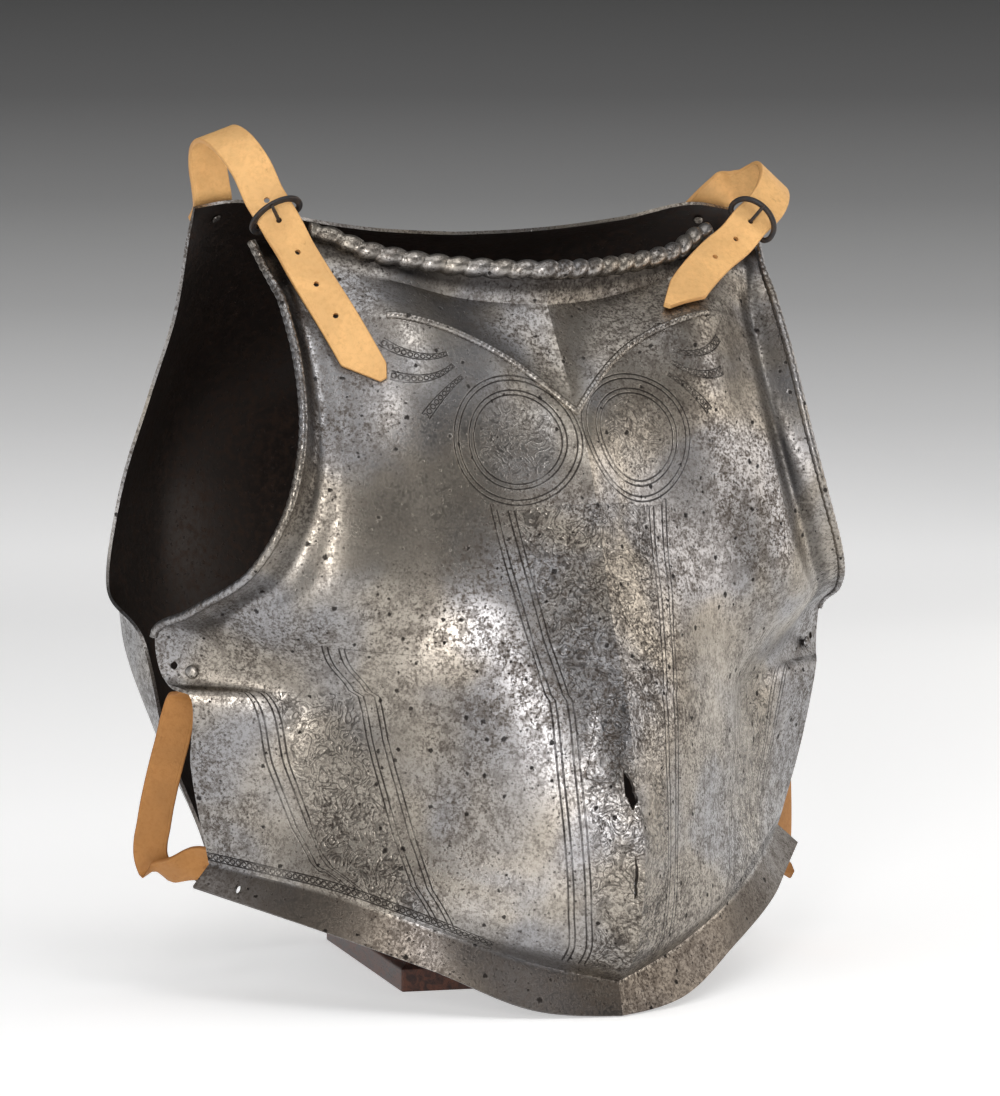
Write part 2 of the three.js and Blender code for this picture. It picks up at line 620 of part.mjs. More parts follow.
// Directions and points at a buckle: across (outward), along (to the tail) and out of the strap
function buckleFrame({ tongueHole, along, outward }) {
  const T = V(...along).normalize();
  const N = V(...outward);
  N.addScaledVector(T, -N.dot(T)).normalize();
  const A = N.clone().cross(T);
  const over = WRAP_RADIUS + CHAPE_THICKNESS / 2 + GAP + STRAP_THICKNESS / 2;
  const bar = sizeOf(tongueHole).addScaledVector(N, -over - STRAP_THICKNESS / 2)
    .addScaledVector(T, -TONGUE_AHEAD);
  const at = (a, t, n) => bar.clone()
    .addScaledVector(A, a).addScaledVector(T, t).addScaledVector(N, n);
  return { T, N, A, at, over };
}

// Centres, directions and sections of a shoulder strap from the backplate to its tip
function shoulderBand(shape) {
  const { N, A, at, over } = buckleFrame(shape);
  const controls = ROOT.map(([u, v]) => ({
    p: onBack(1, u, v).addScaledVector(
      plateNormal(onBack, 1, u, v, -1), GAP + FACET + STRAP_THICKNESS / 2),
    across: V(1, 0, -0.12),
  }));
  shape.loop.forEach(([point, across]) => controls.push({
    p: sizeOf(point), across: V(...across),
  }));
  controls.push({ p: at(0, -BUCKLE_REACH, over), across: A });
  controls.push({ p: at(0, 0, over), across: A });
  const firstTail = controls.length;
  const surface = shape.tail.map(([u, v, lift]) => {
    const n = plateNormal(onBreast, 1, u, v, 1);
    return { p: onBreast(1, u, v).addScaledVector(n, lift), n };
  });
  surface.forEach(({ p, n }, i) => {
    const before = i ? surface[i - 1].p : at(0, 0, over);
    const after = surface[Math.min(i + 1, surface.length - 1)].p;
    controls.push({ p, across: n.clone().cross(after.clone().sub(before).normalize()) });
  });
  const steps = stepsOf(controls.slice(1).map((_, i) => {
    if (i + 1 < firstTail) return i === 0 ? 3 : 2;
    return i + 1 === firstTail + surface.length - 1 ? 5 : 3;
  }));
  const path = smoothCurve(controls.map((c) => c.p));
  const acrossAt = smoothCurve(controls.map((c) => c.across.clone().normalize()));
  const centres = steps.map((t) => path(t));
  const acrosses = steps.map((t) => acrossAt(t).normalize());
  const last = centres.length - 1;
  const normals = centres.map((_, i) => centres[Math.min(i + 1, last)].clone()
    .sub(centres[Math.max(i - 1, 0)]).cross(acrosses[i]).normalize());
  const half = STRAP_WIDTH / 2;
  const { outer, inner, at: tip } = shape.tip;
  const rings = centres.map((_, i) => {
    const s = lengthOf(centres.slice(i));
    const high = Math.min(half, tip + 2 + ((half - tip - 2) * s) / outer);
    const low = Math.max(-half, tip - 2 - ((half + tip - 2) * s) / inner);
    return flatRing(low, high, STRAP_THICKNESS);
  });
  return { centres, acrosses, normals, rings, N, rootCount: 5, tailStart: steps.indexOf(firstTail - 1) };
}

const swept = ({ centres, acrosses, rings }) => sweptBar(centres, acrosses, rings);

function buckleRing(shape) {
  const { T, N, A, at } = buckleFrame(shape);
  const tilt = (FRAME_TILT * Math.PI) / 180;
  const D = T.clone().multiplyScalar(-Math.cos(tilt)).addScaledVector(N, Math.sin(tilt));
  const P = N.clone().multiplyScalar(Math.cos(tilt)).addScaledVector(T, Math.sin(tilt));
  const half = (BUCKLE_WIDTH - BAR_RADIUS * 2) / 2;
  const bow = range(8, 172, 10).map((degrees) => {
    const angle = (degrees * Math.PI) / 180;
    return [half * Math.cos(angle), BUCKLE_REACH / 3 + (BUCKLE_REACH * 2 * Math.sin(angle)) / 3, 1];
  });
  const corner = [[half * 0.66, 0, 0], [half * 0.9, 0.8, 0.1], [half, 3.2, 0.5]];
  const outline = [
    [0, 0, 0], ...corner, ...bow, ...corner.reverse().map(([a, d, f]) => [-a, d, f]),
  ];
  const centres = outline.map(([a, d]) => at(a, 0, 0).addScaledVector(D, d));
  const [depth, width] = shape.frame;
  const bar = BAR_RADIUS * 2;
  const rings = outline.map(([, , f]) => {
    const w = bar + (depth - bar) * f;
    const t = bar + (width - bar) * f;
    return bandRing(-w / 2, w / 2, t, 0.29 * Math.min(w, t));
  });
  const frame = sweptBar(centres, centres.map(() => P), rings, true);
  return { frame, D, P, at };
}

// The tongue hooks round the pivot bar and its tip rests on the bow of the frame
function tongue({ D, P, at }, depth, radius) {
  const hook = BAR_RADIUS * 1.1 + GAP + 0.1 + TONGUE_RADIUS;
  const rest = depth / 2 + GAP + TONGUE_RADIUS;
  const plane = ([d, p]) => at(0, 0, 0).addScaledVector(D, d).addScaledVector(P, p);
  const wrap = range(-20, -270, 7).map((degrees) => {
    const angle = (degrees * Math.PI) / 180;
    return [hook * Math.cos(angle), hook * Math.sin(angle)];
  });
  const reach = BUCKLE_REACH;
  const rod = [[reach * 0.35, hook], [reach * 0.7, (hook + rest) / 2], [reach, rest]];
  const centres = [...wrap, ...rod, [reach + 2.2, rest - 0.1]].map(plane);
  const across = P.clone().cross(D).normalize();
  const ring = roundRing(radius, 6);
  return sweptBar(centres, centres.map(() => across), centres.map((_, i) => (
    i < centres.length - 1 ? ring : ring.map(([a, n]) => [a * 0.6, n * 0.6]))));
}

// A strip folded round the pivot bar, with both ends riveted to the breastplate
function chape(shape) {
  const { T, A, at } = buckleFrame(shape);
  const [u, v] = shape.chapeRivet;
  const n = plateNormal(onBreast, 1, u, v, 1);
  const spot = onBreast(1, u, v);
  const foot = spot.clone().addScaledVector(n, seatHeight([breastProbe], spot, n, CHAPE_WIDTH / 2));
  const t = at(0, 0, 0).sub(foot);
  t.addScaledVector(n, -t.dot(n)).normalize();
  const low = GAP + 0.2 + CHAPE_THICKNESS / 2;
  const high = low + CHAPE_THICKNESS + GAP;
  const on = (s, h) => foot.clone().addScaledVector(t, s).addScaledVector(n, h);
  const r = WRAP_RADIUS;
  const k = r * Math.SQRT1_2;
  const centres = [
    on(-5, low), on(0, low), on(5, low), at(0, 5, -r * 0.85), at(0, 2, -r), at(0, 0, -r),
    at(0, -k, -k), at(0, -r, 0), at(0, -k, k), at(0, 0, r), at(0, 2, r), at(0, 5, r * 0.85),
    on(5, high), on(0, high), on(-5, high),
  ];
  const far = n.clone().cross(t).multiplyScalar(-1);
  const share = [1, 1, 0.8, 0.3, 0, 0, 0, 0, 0, 0, 0, 0.3, 0.8, 1, 1];
  const acrosses = share.map((f) => A.clone().lerp(far, f));
  const ring = flatRing(-CHAPE_WIDTH / 2, CHAPE_WIDTH / 2, CHAPE_THICKNESS);
  const strip = sweptBar(centres, acrosses, centres.map(() => ring));
  const slot = new THREE.BoxGeometry(2 * (TONGUE_RADIUS + GAP), 11, 14)
    .applyMatrix4(new THREE.Matrix4().makeBasis(A, T, A.clone().cross(T)))
    .translate(...at(0, -1.2, 0).toArray());
  const top = high + CHAPE_THICKNESS / 2 + GAP;
  const behind = seatHeight([breastProbe], foot, n.clone().negate(), RIVET_BACK_RADIUS);
  const pin = rivet(on(0, top), n, top + behind + GAP, 3.2, 1.2);
  const hole = rivetHole(on(0, 0), n);
  return { strip: cut(strip, slot, hole), pin, hole };
}

Object.keys(SIDES).forEach((name) => {
  const side = SIDES[name];
  const shape = SHOULDER[name];
  const ring = buckleRing(shape);
  const pinTongue = tongue(ring, shape.frame[0], TONGUE_RADIUS);
  const { strip, pin, hole } = chape(shape);
  const band = shoulderBand(shape);
  liftClear(band, STRAP_THICKNESS, [backProbe], 0, band.rootCount);
  liftClear(
    band, STRAP_THICKNESS, [breastProbe, probe(strip), probe(pin)], band.tailStart + 1,
    band.centres.length - 1);
  const [u, v] = ROOT_RIVET;
  const rootNormal = plateNormal(onBack, 1, u, v, -1);
  const rootPoint = onBack(1, u, v);
  const top = seatHeight([probe(swept(band))], rootPoint, rootNormal, RIVET_HEAD_RADIUS) + GAP;
  const behind = seatHeight([backProbe], rootPoint, rootNormal.clone().negate(), RIVET_BACK_RADIUS);
  const seat = rootPoint.clone().addScaledVector(rootNormal, top);
  const rootPin = rivet(seat, rootNormal, top + behind + GAP);
  const rootHole = rivetHole(rootPoint, rootNormal);
  const punched = shape.holes.map((pitches) => {
    const want = pitches * STRAP_HOLE_PITCH + TONGUE_AHEAD;
    const line = want < 0 ? band.centres.slice(0, band.tailStart + 1).reverse()
      : band.centres.slice(band.tailStart);
    let gone = 0;
    let i = 0;
    while (i < line.length - 2 && gone + line[i].distanceTo(line[i + 1]) < Math.abs(want)) {
      gone += line[i].distanceTo(line[i + 1]);
      i += 1;
    }
    const f = (Math.abs(want) - gone) / line[i].distanceTo(line[i + 1]);
    const point = line[i].clone().lerp(line[i + 1], f);
    const normal = band.normals[band.centres.indexOf(line[i])];
    return pinThrough(point, normal, STRAP_HOLE_RADIUS, 8, 7);
  });
  const strap = cut(
    swept(band), tongue(ring, shape.frame[0], TONGUE_RADIUS + GAP), rootHole, ...punched);
  breastCutters.push(sided(side, hole));
  backCutters.push(sided(side, rootHole));
  const add = (label, geometry, material) => piece(
    cuirass, `${label}_${name}`, sided(side, geometry), material);
  add('shoulder_strap', strap, leather);
  add('buckle_frame', ring.frame, darkSteel);
  add('buckle_tongue', pinTongue, darkSteel);
  add('buckle_chape', strip, darkSteel);
  add('chape_rivet', pin, steel);
  add('strap_rivet', rootPin, steel);
});

// Side straps: hung behind the ear, folded at the bottom and brought back inside the breastplate.
// Each row is a point and the direction across, in shares as above.
const SIDE_STRAPS = {
  right: [
    [[0.942, 0.030, 0.397], [0.89, 0.45, 0.05]],
    [[0.955, 0.080, 0.345], [0.89, 0.45, 0.10]],
    [[0.976, 0.118, 0.283], [0.89, 0.45, 0.10]],
    [[0.989, 0.150, 0.225], [0.88, 0.46, 0.20]],
    [[0.990, 0.170, 0.186], [0.82, 0.45, 0.34]],
    [[0.978, 0.160, 0.168], [0.80, 0.45, 0.40]],
    [[0.955, 0.110, 0.168], [0.80, 0.48, 0.36]],
    [[0.905, 0.000, 0.185], [0.84, 0.50, 0.20]],
  ],
  left: [
    [[0.945, 0.035, 0.395], [0.89, 0.45, 0.05]],
    [[0.975, 0.090, 0.340], [0.89, 0.45, 0.10]],
    [[1.005, 0.130, 0.260], [0.89, 0.45, 0.10]],
    [[1.030, 0.165, 0.170], [0.88, 0.46, 0.20]],
    [[1.036, 0.185, 0.118], [0.82, 0.45, 0.34]],
    [[1.022, 0.172, 0.102], [0.80, 0.45, 0.40]],
    [[0.990, 0.110, 0.108], [0.80, 0.48, 0.36]],
    [[0.920, -0.010, 0.150], [0.84, 0.50, 0.20]],
  ],
};
const EAR_RIVET = [4.49, 7.35];
const EAR_END = [4.49, 7.8];
const EAR_LEAVE = [4.49, 7.05];
const LOWER_RIVET = [4.42, 3.38];
const LOWER_END = [4.42, 3.85];
const LOWER_MEET = [4.42, 3.05];

Object.keys(SIDES).forEach((name) => {
  const side = SIDES[name];
  const depth = BREAST_THICKNESS + GAP + FACET + SIDE_STRAP_THICKNESS / 2;
  const inside = ([u, v]) => onBreast(1, u, v)
    .addScaledVector(plateNormal(onBreast, 1, u, v, 1), -depth);
  const rows = SIDE_STRAPS[name];
  const controls = [
    { p: inside(EAR_END), across: V(0.89, 0.45, 0) },
    { p: inside(EAR_LEAVE), across: V(0.89, 0.45, 0) },
    ...rows.map(([point, across]) => ({ p: sizeOf(point), across: V(...across) })),
    { p: inside(LOWER_MEET), across: V(0.89, 0.45, 0) },
    { p: inside(LOWER_END), across: V(0.89, 0.45, 0) },
  ];
  const path = smoothCurve(controls.map((c) => c.p));
  const acrossAt = smoothCurve(controls.map((c) => c.across.normalize()));
  const steps = stepsOf(controls.slice(1).map((_, i) => (i && i < rows.length + 2 ? 2 : 3)));
  const ring = flatRing(-SIDE_STRAP_WIDTH / 2, SIDE_STRAP_WIDTH / 2, SIDE_STRAP_THICKNESS);
  const last = steps.length - 1;
  const inward = (i) => plateNormal(onBreast, 1, ...(i < last / 2 ? EAR_RIVET : LOWER_RIVET), 1)
    .negate();
  const line = {
    centres: steps.map((t) => path(t)),
    acrosses: steps.map((t) => acrossAt(t).normalize()),
    rings: steps.map(() => ring),
    normals: steps.map((_, i) => inward(i)),
  };
  liftClear(line, SIDE_STRAP_THICKNESS, [breastProbe], 0, 5);
  liftClear(line, SIDE_STRAP_THICKNESS, [breastProbe], last - 5, last);
  const band = swept(line);
  const pins = [EAR_RIVET, LOWER_RIVET].map(([u, v], lower) => {
    const n = plateNormal(onBreast, 1, u, v, 1);
    const spot = onBreast(1, u, v);
    const top = lower ? -0.3 : seatHeight([breastProbe], spot, n, RIVET_HEAD_RADIUS) + GAP;
    const behind = seatHeight([probe(band)], spot, n.clone().negate(), RIVET_BACK_RADIUS);
    const head = lower ? [RIVET_SHANK_RADIUS + 0.01, 0.01] : [RIVET_HEAD_RADIUS, RIVET_HEAD_HEIGHT];
    const point = spot.clone().addScaledVector(n, top);
    return { pin: rivet(point, n, top + behind + GAP, ...head), hole: rivetHole(spot, n) };
  });
  breastCutters.push(...pins.map(({ hole }) => sided(side, hole)));
  const add = (label, geometry, material) => piece(
    cuirass, `${label}_${name}`, sided(side, geometry), material);
  add('side_strap', cut(band, ...pins.map(({ hole }) => hole)), sideLeather);
  add('ear_rivet', pins[0].pin, steel);
  add('side_strap_lower_rivet', pins[1].pin, steel);
});

piece(cuirass, 'breastplate', cut(breastShell, ...breastCutters), steel);
piece(cuirass, 'backplate', cut(backShell, ...backCutters), darkSteel);

// Stand
function block(width, depth, heights) {
  const points = heights.flatMap(([z, inset]) => [[-1, -1], [1, -1], [1, 1], [-1, 1]]
    .map(([a, b]) => [a * (width / 2 - inset), b * (depth / 2 - inset), z]));
  const triangles = [[0, 2, 1], [0, 3, 2]];
  const top = (heights.length - 1) * 4;
  for (let i = 0; i < heights.length - 1; i += 1) {
    for (let k = 0; k < 4; k += 1) {
      const a = i * 4 + k;
      const b = i * 4 + ((k + 1) % 4);
      triangles.push([a, b, b + 4], [a, b + 4, a + 4]);
    }
  }
  triangles.push([top, top + 1, top + 2], [top, top + 2, top + 3]);
  return solidOf(points, triangles);
}

const base = block(BASE_WIDTH, BASE_DEPTH, [
  [0, 0], [BASE_PLINTH, 0], [BASE_PLINTH + 2, 3], [BASE_HEIGHT, 9],
]).rotateZ((-BASE_TURN * Math.PI) / 180);
piece(group, 'stand_base', base, wood);

// The bar lies against the inside of the breastplate below the neck.
const barFront = Math.max(...range(-1, 1, 56).flatMap((f) => range(0, 1, 10).map((g) => {
  const from = V(f * BAR_HALF_LENGTH, BELLY_DEPTH, BAR_TOP - g * BAR_HEIGHT);
  caster.set(from, V(0, -1, 0));
  const hits = caster.intersectObject(breastProbe, false);
  return hits.length ? hits[0].point.y : -Infinity;
}))) + GAP;
const barMiddle = barFront + BAR_DEPTH / 2;
const bar = new THREE.BoxGeometry(2 * BAR_HALF_LENGTH, BAR_DEPTH, BAR_HEIGHT)
  .translate(0, barMiddle, BAR_TOP - BAR_HEIGHT / 2);
const postFoot = BASE_HEIGHT + GAP;
const post = new THREE.BoxGeometry(POST_WIDTH, POST_WIDTH, BAR_TOP - 1 - postFoot)
  .translate(0, barMiddle, (BAR_TOP - 1 + postFoot) / 2);
piece(cuirass, 'stand_post', fuse(bar, post), wood);

export default group;
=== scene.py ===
"""Cuirass on a wooden stand: etched steel plates, leather straps, buckles and studio."""

import math

import bmesh
import bpy
import numpy as np
from bpy.props import FloatProperty, FloatVectorProperty, PointerProperty
from mathutils import Matrix, Vector, noise
from mathutils.bvhtree import BVHTree


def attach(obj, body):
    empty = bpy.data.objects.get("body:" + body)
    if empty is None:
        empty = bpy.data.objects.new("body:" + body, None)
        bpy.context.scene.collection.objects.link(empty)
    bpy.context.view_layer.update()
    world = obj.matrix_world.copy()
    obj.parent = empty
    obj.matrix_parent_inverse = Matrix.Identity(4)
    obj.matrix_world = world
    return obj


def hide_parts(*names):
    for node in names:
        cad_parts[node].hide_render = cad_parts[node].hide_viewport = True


bl_info = {
    "name": "Cuirass on a stand",
    "version": (1, 0, 0),
    "blender": (4, 5, 0),
    "location": "3D View > Sidebar > Cuirass",
    "description": "Builds the visible pieces of an etched cuirass around its fixed frame",
    "category": "Object",
}

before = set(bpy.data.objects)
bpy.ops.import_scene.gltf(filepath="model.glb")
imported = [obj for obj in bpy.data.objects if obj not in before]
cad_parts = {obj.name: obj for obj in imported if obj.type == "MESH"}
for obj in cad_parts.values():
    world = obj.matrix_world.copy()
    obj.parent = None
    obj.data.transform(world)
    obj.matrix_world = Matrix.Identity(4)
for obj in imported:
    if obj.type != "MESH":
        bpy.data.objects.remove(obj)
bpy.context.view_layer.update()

# Lengths are in millimetres with the cuirass at the middle, until a mesh is written in metres.
MM = 0.001
SET_BACK = 52.0
HALF_WIDTH, BELLY_DEPTH, BREAST_HEIGHT = 190.0, 167.0, 395.0
BACK_HALF_WIDTH, BACK_DEPTH, BACK_HEIGHT = 180.0, 190.0, 415.0
BREAST_WALL, BACK_WALL = 2.2, 1.8
BORDER_SINK = 7.0
BAND_X, BREAST_X = 0.215, 0.468

BREAST_SECTIONS = [
    # ridge y z, band y z, breast y z, border x y z, edge x y z, sink
    [[0.862, 0.002], [0.784, 0.011], [0.623, 0.063], [0.711, 0.404, 0.111], [0.957, 0.078, 0.158], 0],
    [[0.835, 0.045], [0.722, 0.070], [0.578, 0.117], [0.684, 0.365, 0.157], [0.900, 0.055, 0.184], 0],
    [[0.949, 0.091], [0.805, 0.104], [0.602, 0.140], [0.684, 0.362, 0.175], [0.908, 0.060, 0.197], 0],
    [[0.978, 0.132], [0.820, 0.142], [0.596, 0.167], [0.684, 0.350, 0.192], [0.916, 0.065, 0.213], 0],
    [[1.000, 0.225], [0.815, 0.228], [0.570, 0.233], [0.689, 0.320, 0.238], [0.932, 0.072, 0.241], 0],
    [[0.943, 0.316], [0.810, 0.316], [0.564, 0.316], [0.711, 0.299, 0.319], [0.967, 0.093, 0.316], 0],
    [[0.884, 0.413], [0.785, 0.413], [0.557, 0.413], [0.740, 0.272, 0.413], [0.994, 0.122, 0.418], 0],
    [[0.878, 0.420], [0.780, 0.420], [0.557, 0.420], [0.745, 0.270, 0.420], [1.022, 0.065, 0.425], 0],
    [[0.845, 0.456], [0.757, 0.452], [0.557, 0.448], [0.816, 0.275, 0.468], [1.048, 0.035, 0.486], 0.3],
    [[0.810, 0.492], [0.728, 0.486], [0.560, 0.484], [0.832, 0.365, 0.511], [1.010, 0.225, 0.523], 0.8],
    [[0.773, 0.537], [0.690, 0.537], [0.563, 0.537], [0.750, 0.480, 0.555], [0.905, 0.430, 0.581], 1],
    [[0.728, 0.603], [0.628, 0.603], [0.555, 0.608], [0.697, 0.499, 0.623], [0.831, 0.488, 0.653], 1],
    [[0.686, 0.663], [0.586, 0.663], [0.533, 0.684], [0.662, 0.465, 0.709], [0.779, 0.473, 0.747], 1],
    [[0.611, 0.742], [0.548, 0.759], [0.491, 0.797], [0.647, 0.371, 0.815], [0.762, 0.401, 0.838], 1],
    [[0.557, 0.777], [0.443, 0.861], [0.395, 0.904], [0.658, 0.275, 0.900], [0.763, 0.275, 0.927], 0.8],
    [[0.359, 0.916], [0.275, 0.924], [0.246, 0.953], [0.672, 0.204, 0.965], [0.775, 0.180, 0.966], 0.2],
    [[0.371, 0.962], [0.287, 0.966], [0.207, 0.985], [0.640, 0.115, 1.012], [0.789, 0.120, 0.999], 0],
]
BREAST_CREASES = (1, 14, 15)
BACK_SECTIONS = [
    # spine y z, middle x y z, blade x y z, border x y z, edge x y z
    [[0.715, 0.123], [0.294, 0.705, 0.124], [0.567, 0.622, 0.127],
     [0.767, 0.460, 0.130], [0.858, 0.263, 0.134]],
    [[0.668, 0.152], [0.278, 0.658, 0.153], [0.533, 0.584, 0.155],
     [0.717, 0.442, 0.157], [0.811, 0.263, 0.159]],
    [[0.700, 0.190], [0.289, 0.689, 0.190], [0.550, 0.605, 0.190],
     [0.744, 0.450, 0.190], [0.836, 0.263, 0.191]],
    [[0.800, 0.301], [0.306, 0.805, 0.301], [0.600, 0.721, 0.301],
     [0.850, 0.511, 0.301], [0.939, 0.263, 0.301]],
    [[0.905, 0.434], [0.333, 0.926, 0.434], [0.656, 0.842, 0.434],
     [0.950, 0.563, 0.434], [1.011, 0.284, 0.443]],
    [[0.958, 0.518], [0.344, 0.984, 0.518], [0.667, 0.905, 0.518],
     [0.889, 0.705, 0.518], [0.991, 0.595, 0.507]],
    [[0.989, 0.627], [0.344, 1.016, 0.627], [0.656, 0.932, 0.627],
     [0.861, 0.721, 0.627], [0.958, 0.584, 0.617]],
    [[0.947, 0.747], [0.333, 0.968, 0.747], [0.622, 0.863, 0.747],
     [0.811, 0.621, 0.752], [0.914, 0.453, 0.754]],
    [[0.789, 0.855], [0.322, 0.789, 0.858], [0.583, 0.674, 0.863],
     [0.767, 0.484, 0.867], [0.892, 0.316, 0.858]],
    [[0.500, 0.937], [0.289, 0.484, 0.947], [0.544, 0.400, 0.964],
     [0.739, 0.274, 0.975], [0.900, 0.190, 0.964]],
    [[0.263, 0.964], [0.289, 0.247, 0.970], [0.544, 0.211, 0.984],
     [0.772, 0.145, 1.004], [0.900, 0.150, 0.995]],
]
BACK_CREASES = (1,)

# Etched ornament: the station of each double border at some sections, and the medallion's middle
BORDER_LINES = {
    "line_side": ([1.91, 6.24], [2.71, 3.81]),
    "line_flank": ([1.51, 5.43, 9.66], [1.86, 2.37, 2.63]),
    "line_band": ([1.91, 7.14, 11.97], [0.595, 0.805, 1.105]),
}
LINE_ENDS = {"line_side": (1.5, 6.5), "line_flank": (1.4, 8.6), "line_band": (1.35, 12.0)}
MEDALLION = (0.85, 12.88)
MEDALLION_RADIUS = 34.5
MEDALLION_PICTURE = 21.0
MEDALLION_SCROLLS = 0.7          # their strength beside that of the bands
BAND_SCROLLS_TOP, SIDE_SCROLLS = 12.6, (1.5, 7.6)
BORDER_MARGIN = 7.0              # from a border's middle to the scrolls beside it
FAR_OFF = 60.0                   # a distance at which no line is drawn
HEM_RISE, HEM_START = 4.6, 1.35  # the bead row above the flange, and the station where it begins
HEM_BEADS = (3.3, 1.25)          # pitch and radius
SPRAY_BEADS = (3.2, 1.15)
# Beaded sprays in front view, from the medallion outwards
SPRAYS = [
    [(66, 338), (82, 336.5), (99, 344)],
    [(64, 332), (80, 325.5), (97, 327)],
    [(60, 326), (73, 316.5), (83, 306)],
]
TEAR = [(0.02, 6.45), (0.30, 6.2), (0.42, 5.6), (0.55, 5.0), (0.22, 4.9), (0.12, 5.5), (0.03, 5.7)]
TEAR_LIFT = 0.9
# Sections and stations between which the etched plate's colour changes: painted shade in the neck groove
# and arm channel, and the browner waist flange
NECK_GROOVE = (15.1, 15.5)
ARM_CHANNEL_START, ARM_CHANNEL_END = (3.9, 4.1), (4.75, 4.3)
ARM_CHANNEL_FOOT = (7.9, 8.8)
FLANGE_EDGE = (1.02, 0.9)

# Cracks in front view: x and the share of the breastplate's height
UPPER_CRACK = [(-5.4, 0.324), (-2.2, 0.312), (-0.6, 0.287), (-3.4, 0.275), (-5.8, 0.292)]
LOWER_CRACK = [
    (-4.0, 0.214), (-3.2, 0.205), (-2.9, 0.168), (-3.7, 0.161), (-4.1, 0.176), (-3.9, 0.200),
]
# Openings, rivets and the ends of the side straps, each at a station and a section
EAR_HOLE, EAR_HOLE_RADIUS = (4.75, 7.45), 1.8
FLANGE_SLOT, FLANGE_SLOT_RADIUS, FLANGE_SLOT_STRETCH = (4.42, 0.42), 1.3, 2
CUTTER_LENGTH = 16
EAR_RIVET = (4.49, 7.35)
LOWER_RIVET = (4.42, 3.38)
SIDE_STRAP_TOP = [(4.49, 7.8), (4.49, 7.05)]
SIDE_STRAP_FOOT = [(4.42, 3.05), (4.42, 3.85)]

# Leather and buckles
STRAP_WIDTH, STRAP_THICKNESS = 21.0, 2.8
SIDE_STRAP_WIDTH, SIDE_STRAP_THICKNESS = 18.0, 2.2
HOLE_RADIUS, HOLE_PITCH = 1.5, 19.5
BAR_RADIUS = 1.5
BUCKLE_WIDTH, BUCKLE_REACH = 30.0, 15.0
CHAPE_THICKNESS = 1.2
GAP, FACET = 0.3, 0.3
WRAP_RADIUS = BAR_RADIUS * 1.1 + GAP + 0.1 + CHAPE_THICKNESS / 2
TONGUE_AHEAD = 0.7
FRAME_TILT = math.radians(62)
SHOULDER = {
    "right": {
        "hole": (0.735, -0.184, 1.027),
        "along": (-0.402, -0.352, -0.845),
        "outward": (0.418, -0.892, 0.172),
        "frame": (1.8, 3.7),
        "loop": [
            ((0.797, 0.171, 1.064), (0.98, 0.03, -0.16)),
            ((0.810, 0.168, 1.097), (0.97, 0.03, -0.22)),
            ((0.824, 0.123, 1.130), (0.95, 0.03, -0.30)),
            ((0.829, 0.048, 1.140), (0.93, 0.05, -0.35)),
            ((0.815, -0.048, 1.126), (0.90, 0.10, -0.42)),
            ((0.783, -0.113, 1.090), (0.84, 0.18, -0.52)),
        ],
        "tail": [(3.47, 15.2, 7.9), (2.94, 14.65, 5.8), (2.77, 14.1, 4.6), (2.46, 13.1, 2.8)],
        "tip": (17, 7, -5),
        "holes": (-0.62, 0, 1, 2, 3),
    },
    "left": {
        "hole": (0.735, -0.184, 1.027),
        "along": (-0.79, -0.27, -0.55),
        "outward": (-0.056, -0.862, 0.503),
        "frame": (3.0, 3.0),
        "loop": [
            ((0.800, 0.176, 1.064), (0.98, 0.03, -0.18)),
            ((0.836, 0.168, 1.075), (0.92, 0.00, -0.38)),
            ((0.884, 0.114, 1.081), (0.80, -0.05, -0.58)),
            ((0.900, 0.030, 1.092), (0.75, -0.10, -0.65)),
            ((0.879, -0.054, 1.082), (0.70, -0.22, -0.68)),
            ((0.836, -0.120, 1.061), (0.66, -0.34, -0.68)),
        ],
        "tail": [(3.55, 15.6, 7.0), (2.64, 15.18, 5.2), (2.18, 14.75, 4.2), (1.69, 14.17, 3.0)],
        "tip": (20, 20, -5),
        "holes": (0, 0.75, 1.9),
    },
}
STRAP_ROOT = [(3.42, 9.05), (3.42, 9.62)]
SIDE_STRAPS = {
    "right": [
        ((0.942, 0.030, 0.397), (0.89, 0.45, 0.05)),
        ((0.955, 0.080, 0.345), (0.89, 0.45, 0.10)),
        ((0.976, 0.118, 0.283), (0.89, 0.45, 0.10)),
        ((0.989, 0.150, 0.225), (0.88, 0.46, 0.20)),
        ((0.990, 0.170, 0.186), (0.82, 0.45, 0.34)),
        ((0.978, 0.160, 0.168), (0.80, 0.45, 0.40)),
        ((0.955, 0.110, 0.168), (0.80, 0.48, 0.36)),
        ((0.905, 0.000, 0.185), (0.84, 0.50, 0.20)),
    ],
    "left": [
        ((0.945, 0.035, 0.395), (0.89, 0.45, 0.05)),
        ((0.975, 0.090, 0.340), (0.89, 0.45, 0.10)),
        ((1.005, 0.130, 0.260), (0.89, 0.45, 0.10)),
        ((1.030, 0.165, 0.170), (0.88, 0.46, 0.20)),
        ((1.036, 0.185, 0.118), (0.82, 0.45, 0.34)),
        ((1.022, 0.172, 0.102), (0.80, 0.45, 0.40)),
        ((0.990, 0.110, 0.108), (0.80, 0.48, 0.36)),
        ((0.920, -0.010, 0.150), (0.84, 0.50, 0.20)),
    ],
}
SIDES = {"right": -1, "left": 1}


# Curves and the two plates' surfaces

